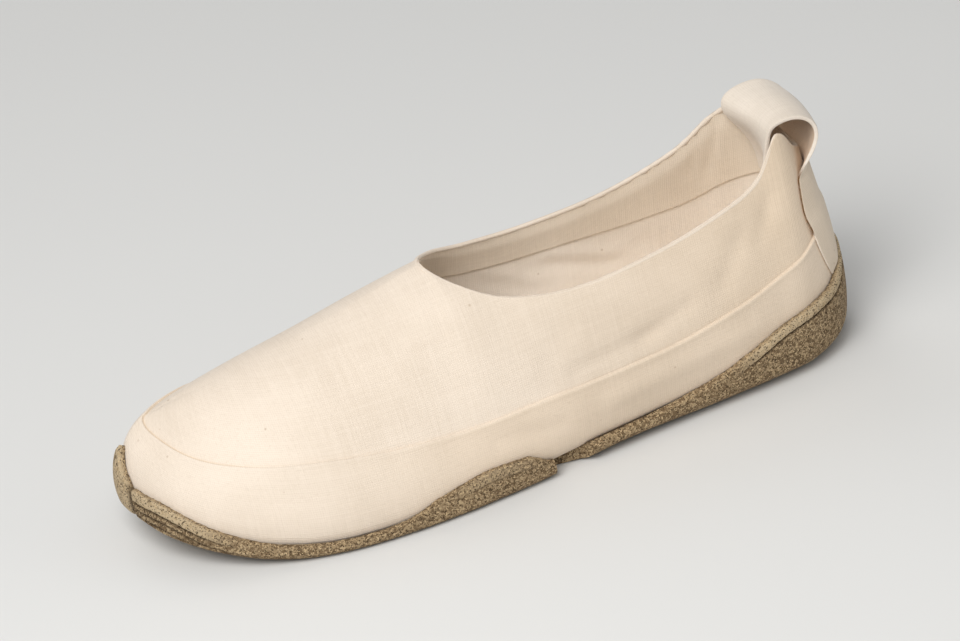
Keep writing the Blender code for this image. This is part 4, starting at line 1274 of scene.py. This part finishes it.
class SHOE_OT_sole(bpy.types.Operator):
    """Press the wrapped fibre sole with its grooves, its tread, its slot and its hollow waist"""

    bl_idname = "shoe.sole"
    bl_label = "Sole"

    def execute(self, context):
        sizes = context.scene.shoe_sizes
        colours = context.scene.shoe_colours
        last = Last(sizes.finer)
        wrap = last.by_side(WRAPS, "row", last.row)
        number = np.arange(last.count)
        fringe = FRINGE * np.sin(number * 1.9) * np.sin(number * 0.61 + 0.4)
        wrap = np.maximum(wrap + fringe - FLAP_DIP * flap_line(last), last.edge[:, 2] + SIDE_LEAST)
        share = last.share_at(wrap)
        clear = BAND_STEP + GAP
        rings = [last.inset(SEAT_INSET) - np.array([0.0, 0.0, GAP])]
        for step in np.linspace(0.0, 1.0, SEAT_RINGS):
            rings.append(last.at(share * step) + last.normal_at(share * step) * clear)
        grooved = [np.zeros(last.count) for _ in rings]
        welted = [np.zeros(last.count) for _ in rings]
        high = wrap - last.edge[:, 2]
        reach = monotone(TURNS, "row", "reach", last.row)
        groove = sizes.groove / MM
        for down in SIDE_STEPS:
            at = last.share_at(wrap - down * high)
            rounding = 1.0 - EDGE_ROUNDING * (1.0 - smoothstep(0.0, EDGE_ROUND, np.full(last.count, down)))
            cut, welt = side_grooves(last, high, reach, down * high)
            thick = (SOLE_TOP + (SOLE_LOW - SOLE_TOP) * down) * rounding - groove * cut
            rings.append(last.at(at) + last.normal_at(at) * (clear + thick)[:, None])
            grooved.append(cut)
            welted.append(welt)
        foot = last.at(at) + last.normal_at(at) * (clear + SOLE_LOW)
        before = foot
        run = high.copy()
        for angle in np.linspace(0.0, math.pi / 2.0, TURN_RINGS + 1)[1:]:
            ring = foot - last.out * (reach * (1.0 - np.cos(angle)))[:, None]
            ground = monotone(GROUNDS, "x", "z", ring[:, 0])
            fall = foot[:, 2] - ground
            ring[:, 2] = ground + (1.0 - np.sin(angle)) * fall
            run = run + np.linalg.norm(ring - before, axis=1)
            before = ring
            cut, welt = side_grooves(last, high, reach, run)
            cut = cut * smoothstep(1.0, 0.8, np.full(last.count, np.sin(angle)))
            normal = last.out * (fall * np.cos(angle))[:, None]
            normal[:, 2] = -reach * np.sin(angle)
            rings.append(ring - unit(normal) * (groove * cut)[:, None])
            grooved.append(cut)
            welted.append(welt)
        rings = np.stack(rings)
        side = start_grid("sole_side", last.count, len(rings) - 1)
        lay_points(side, closed_row(rings))
        # Shares of the side grooves, for their painted shade in the finish.
        lay_value(side, "groove", closed_row(np.stack(grooved)))
        lay_value(side, "welt", closed_row(np.stack(welted)))
        outline = (last.edge[:, :2] + last.out[:, :2] * (clear + SOLE_LOW))[::OUTLINE_STEP]
        turned = rings[-TURN_RINGS:]
        phase, shown, _ = tread(turned[:, :, 0], turned[:, :, 1],
                                edge_distance(turned[:, :, 0], turned[:, :, 1], outline))
        shown = shown * smoothstep(*TURN_FADE, np.arange(TURN_RINGS) / (TURN_RINGS - 1.0))[:, None]
        above = np.zeros((len(rings) - TURN_RINGS, last.count))
        # Where the tread lines show, for their painted shade and their bump in the finish.
        lay_value(side, "tread_phase", closed_row(np.vstack([above, phase])))
        lay_value(side, "tread_shown", closed_row(np.vstack([above, shown])))
        parts = []
        for name, ring, relief in (("sole_under", rings[-1], True), ("sole_seat", rings[0], False)):
            left = ring[:last.half + 1]
            right = ring[(-np.arange(last.half + 1)) % last.count]
            count = UNDER_RINGS if relief else SEAT_ROWS
            t = np.linspace(0.0, 1.0, count + 1)[:, None, None]
            sheet = left[None] * (1.0 - t) + right[None] * t
            plain = np.zeros(sheet.shape[:2])
            phase, shown = plain, plain
            if relief:
                x = sheet[:, :, 0]
                y = sheet[:, :, 1]
                phase, shown, pressed = tread(x, y, edge_distance(x, y, outline))
                sheet[1:-1, :, 2] = monotone(GROUNDS, "x", "z", x[1:-1]) + pressed[1:-1] * sizes.tread / MM
            part = start_grid(name, last.half, count)
            lay_points(part, sheet)
            for label, values in (("groove", plain), ("welt", plain), ("tread_phase", phase), ("tread_shown", shown)):
                lay_value(part, label, values)
            parts.append(part)
        select_only(side, *parts)
        bpy.ops.object.join()
        sew(side)
        side.data.materials.append(fibre_material(colours, sizes.fleck))
        for name, cut_outline in (("slot_cutter", SLOT), ("waist_cutter", WAIST)):
            cutter = outline_prism(name, cut_outline)
            cut = side.modifiers.new(name, "BOOLEAN")
            cut.operation = "DIFFERENCE"
            cut.solver = "EXACT"
            cut.object = cutter
            bpy.context.view_layer.objects.active = side
            bpy.ops.object.modifier_apply(modifier=name)
            bpy.data.objects.remove(cutter, do_unlink=True)
        side.name = "fibre_sole"
        side.data.name = "fibre_sole"
        finish_piece(side, "fibre_composite", "outsole")
        bpy.ops.object.shade_smooth_by_angle(angle=SHARP_EDGE)
        return {"FINISHED"}


def outline_prism(name, outline):
    """Upright block with the given outline, for cutting."""
    select_only()
    bpy.ops.mesh.primitive_circle_add(vertices=len(outline), radius=0.1, fill_type="NGON")
    block = bpy.context.active_object
    block.name = name
    for vertex, (x, y) in zip(block.data.vertices, outline):
        vertex.co = (np.array([x, y, CUT_LOW]) - CENTRE) * MM
    bpy.ops.object.mode_set(mode="EDIT")
    bpy.ops.mesh.select_all(action="SELECT")
    bpy.ops.mesh.extrude_region_move(
        TRANSFORM_OT_translate={"value": (0.0, 0.0, (CUT_HIGH - CUT_LOW) * MM)})
    bpy.ops.mesh.select_all(action="SELECT")
    bpy.ops.mesh.normals_make_consistent(inside=False)
    bpy.ops.object.mode_set(mode="OBJECT")
    return block


class HeelSurface:
    """Outer side of the upper round the heel, read by breadth and height."""

    def __init__(self, fine, finer):
        reach = finer * sum(COLUMNS[:HEEL_ROWS])
        self.columns = np.concatenate([np.arange(fine.count - reach, fine.count), np.arange(reach + 1)])
        self.levels = np.linspace(HEEL_LOW, HEEL_HIGH, HEEL_LEVELS)
        self.points = []
        self.normals = []
        for level in self.levels:
            share = fine.share_at(np.full(fine.count, level))
            self.points.append(fine.at(share)[self.columns])
            self.normals.append(fine.normal_at(share)[self.columns])

    def at(self, y, z):
        """Point of the heel's outside at a breadth and a height, and the direction away from it."""
        place = np.clip((z - HEEL_LOW) / (HEEL_HIGH - HEEL_LOW), 0.0, 1.0) * (HEEL_LEVELS - 1)
        k = min(int(place), HEEL_LEVELS - 2)
        result = []
        for level in (k, k + 1):
            order = np.argsort(self.points[level][:, 1])
            known = self.points[level][order, 1]
            x = np.interp(y, known, self.points[level][order, 0])
            normal = [np.interp(y, known, self.normals[level][order, axis]) for axis in range(3)]
            result.append((x, np.array(normal)))
        part = place - k
        x = (1 - part) * result[0][0] + part * result[1][0]
        normal = (1 - part) * result[0][1] + part * result[1][1]
        return np.array([x, y, z]), normal / np.linalg.norm(normal)


def taper(q):
    """Share of its thickness that the strip keeps on the heel, by the share of its half width."""
    return 1.0 - 0.5 * float(smoothstep(0.6, 1.0, abs(q)))


class SHOE_OT_heel_strip(bpy.types.Operator):
    """Lay the canvas strip over the heel and turn it over as the pull loop"""

    bl_idname = "shoe.heel_strip"
    bl_label = "Heel strip and loop"

    def execute(self, context):
        sizes = context.scene.shoe_sizes
        colours = context.scene.shoe_colours
        fine = Last(STRIP_COLUMNS)
        heel = HeelSurface(fine, STRIP_COLUMNS)
        thick = sizes.strip / MM
        across = np.linspace(-1.0, 1.0, STRIP_ACROSS)
        order = np.argsort(fine.edge[heel.columns, 1])
        low_y = fine.edge[heel.columns, 1][order]
        low_z = fine.by_side(WRAPS, "row", fine.row)[heel.columns][order]
        seam = fine.seam_z[0]
        knots = []
        for r in np.linspace(0.0, 1.0, STRIP_ROWS):
            centre_z = low_z.max() + (STRIP_TOP - low_z.max()) * r
            half = monotone(STRIPS, "z", "half", np.array([centre_z]))[0]
            row = []
            for q in across:
                y = STRIP_CENTRE + q * half
                foot = np.interp(y, low_y, low_z) + STRIP_FOOT
                z = foot + (STRIP_TOP - foot) * r
                point, normal = heel.at(y, z)
                proud = BAND_STEP * (1.0 - smoothstep(*STRIP_OVER_SEAM, z - seam))
                lift = STRIP_LIFT * (1.0 - 0.7 * smoothstep(0.55, 0.95, abs(q)))
                row.append(point + normal * (proud + lift + thick * taper(q) / 2))
            knots.append(row)
        path = np.stack([LOOPS[key] for key in LOOPS.dtype.names], axis=1)
        steps = np.arange((len(LOOPS) - 1) * LOOP_FINER + 1) / LOOP_FINER
        for x, z, outer, inner, lag, tilt, twist in catmull(path, steps, False):
            row = []
            for q in across:
                y = STRIP_CENTRE + (q * outer if q > 0 else q * inner)
                row.append(np.array([x + lag * q * q - twist * q, y, z - tilt * q]))
            knots.append(row)
        knots = np.array(knots)
        flat = knots.reshape(len(knots), -1)
        places = np.arange((len(knots) - 1) * STRIP_FINER + 1) / STRIP_FINER
        middle = catmull(flat, places, False).reshape(len(places), len(across), 3)
        for _ in range(2):
            middle[1:-1] = 0.25 * middle[:-2] + 0.5 * middle[1:-1] + 0.25 * middle[2:]
        normal = unit(np.cross(np.gradient(middle, axis=0), np.gradient(middle, axis=1)))
        run = np.concatenate([[0.0], np.cumsum(np.linalg.norm(np.diff(middle[:, STRIP_ACROSS // 2], axis=0), axis=1))])
        wide = np.concatenate([np.zeros((len(middle), 1)),
                               np.cumsum(np.linalg.norm(np.diff(middle, axis=1), axis=2), axis=1)], axis=1)
        free = smoothstep(*STRIP_FREE, places)[:, None]
        wave = STRIP_WAVE * np.sin(run * 0.21 + 0.5)[:, None] * np.sin(across * 3.1 + 0.7)[None, :]
        hem = STRIP_HEM * np.exp(-((np.abs(across) - 0.90) / 0.07) ** 2)[None, :]
        middle = middle + normal * (free * (wave + hem))[:, :, None]
        piece = start_grid("heel_strip_loop", len(across) - 1, len(middle) - 1)
        lay_points(piece, middle)
        lay_pattern(piece, np.stack([wide, np.broadcast_to(run[:, None], wide.shape)], axis=2))
        # Painted shade on the strip where it lies on the heel.
        lay_value(piece, "painted_shade", np.broadcast_to(1.0 - free, wide.shape))
        # Painted shadow on the reverse over the top and front of the loop, inside its hole.
        lay_value(piece, "grain_and_painted_shade", np.broadcast_to(smoothstep(*LOOP_SHADOW_PLACES, places)[:, None], wide.shape))
        reverse = cloth_material("strip_reverse", colours.reverse, sizes.weave, 0.00009, PAINTED_LOOP_SHADOW, "grain_and_painted_shade")
        cut_edge = edge_material("strip_cut_edge", colours.strip, colours.edge, seam, STRIP_TOP)
        front = cloth_material("loop_canvas", colours.strip, sizes.weave, 0.00011)
        for material in (reverse, cut_edge, front):
            piece.data.materials.append(material)
        lay_thickness(piece, free + (1.0 - free) * np.array([taper(q) for q in across])[None, :])
        thicken(piece, thick, 0.0, 1)
        soft = piece.modifiers.new("edge", "BEVEL")
        soft.width = STRIP_BEVEL
        soft.segments = 2
        soft.limit_method = "ANGLE"
        soft.angle_limit = BEVEL_ANGLE
        soft.use_clamp_overlap = True
        apply_all(piece)
        sew(piece)
        finish_piece(piece, "canvas_strip", "heel_strip")
        return {"FINISHED"}


class SHOE_OT_stage(bpy.types.Operator):
    """Set the floor, the lights and the camera"""

    bl_idname = "shoe.stage"
    bl_label = "Stage"

    def execute(self, context):
        scene = context.scene
        stage = scene.shoe_stage
        select_only()
        bpy.ops.mesh.primitive_plane_add(size=FLOOR_SIZE)
        floor = context.active_object
        floor.name = "floor"
        floor.data.materials.append(floor_material(scene.shoe_colours.floor))
        for name, place, size, power, share in LAMPS:
            self.lamp(scene, name, place, size, getattr(stage, power) * share)
        world = bpy.data.worlds.new("even_surround")
        world.use_nodes = True
        surround = world.node_tree.nodes["Background"].inputs
        surround["Color"].default_value = SKY_COLOUR
        surround["Strength"].default_value = stage.sky
        scene.world = world
        scene.view_settings.view_transform = "Standard"
        scene.view_settings.look = "None"
        self.camera(scene, stage)
        return {"FINISHED"}

    def lamp(self, scene, name, place, size, power):
        light = bpy.data.lights.new(name, "AREA")
        light.shape = "DISK"
        light.size = size
        light.energy = power
        holder = bpy.data.objects.new(name, light)
        scene.collection.objects.link(holder)
        holder.location = place
        look = Vector(LAMPS_LOOK) - Vector(place)
        holder.rotation_euler = look.to_track_quat("-Z", "Y").to_euler()

    def camera(self, scene, stage):
        sin_turn, cos_turn = math.sin(stage.turn), math.cos(stage.turn)
        sin_high, cos_high = math.sin(stage.height), math.cos(stage.height)
        across = np.array([-cos_turn, sin_turn, 0.0])
        up = np.array([-sin_high * sin_turn, -sin_high * cos_turn, cos_high])
        ahead = -np.array([sin_turn * cos_high, cos_turn * cos_high, sin_high])
        right = across * math.cos(stage.roll) - up * math.sin(stage.roll)
        top = across * math.sin(stage.roll) + up * math.cos(stage.roll)
        stand = np.array(CAMERA_LOOK) - ahead * stage.away
        camera = bpy.data.cameras.new("camera")
        holder = bpy.data.objects.new("camera", camera)
        scene.collection.objects.link(holder)
        holder.matrix_world = Matrix([[right[k], top[k], -ahead[k], stand[k]] for k in range(3)] + [[0, 0, 0, 1]])
        camera.sensor_width = SENSOR
        camera.lens = stage.lens
        camera.shift_y = CAMERA_SHIFT
        camera.clip_start = CAMERA_NEAR
        scene.camera = holder


PIECES = (SHOE_OT_upper, SHOE_OT_collar, SHOE_OT_insole, SHOE_OT_sole, SHOE_OT_heel_strip, SHOE_OT_stage)


class SHOE_PT_panel(bpy.types.Panel):
    """Steps that dress the shoe"""

    bl_idname = "SHOE_PT_panel"
    bl_label = "Shoe"
    bl_space_type = "VIEW_3D"
    bl_region_type = "UI"
    bl_category = "Shoe"

    def draw(self, context):
        for group in (context.scene.shoe_sizes, context.scene.shoe_colours, context.scene.shoe_stage):
            box = self.layout.box()
            for key in group.__annotations__:
                box.prop(group, key)
        for step in PIECES:
            self.layout.operator(step.bl_idname)


CLASSES = (ShoeSizes, ShoeColours, ShoeStage, *PIECES, SHOE_PT_panel)


def register():
    for item in CLASSES:
        bpy.utils.register_class(item)
    bpy.types.Scene.shoe_sizes = PointerProperty(type=ShoeSizes)
    bpy.types.Scene.shoe_colours = PointerProperty(type=ShoeColours)
    bpy.types.Scene.shoe_stage = PointerProperty(type=ShoeStage)


def unregister():
    del bpy.types.Scene.shoe_stage
    del bpy.types.Scene.shoe_colours
    del bpy.types.Scene.shoe_sizes
    for item in reversed(CLASSES):
        bpy.utils.unregister_class(item)


def main():
    register()
    bpy.ops.shoe.upper()
    bpy.ops.shoe.collar()
    bpy.ops.shoe.insole()
    bpy.ops.shoe.sole()
    bpy.ops.shoe.heel_strip()
    bpy.ops.shoe.stage()


if __name__ == "__main__":
    main()
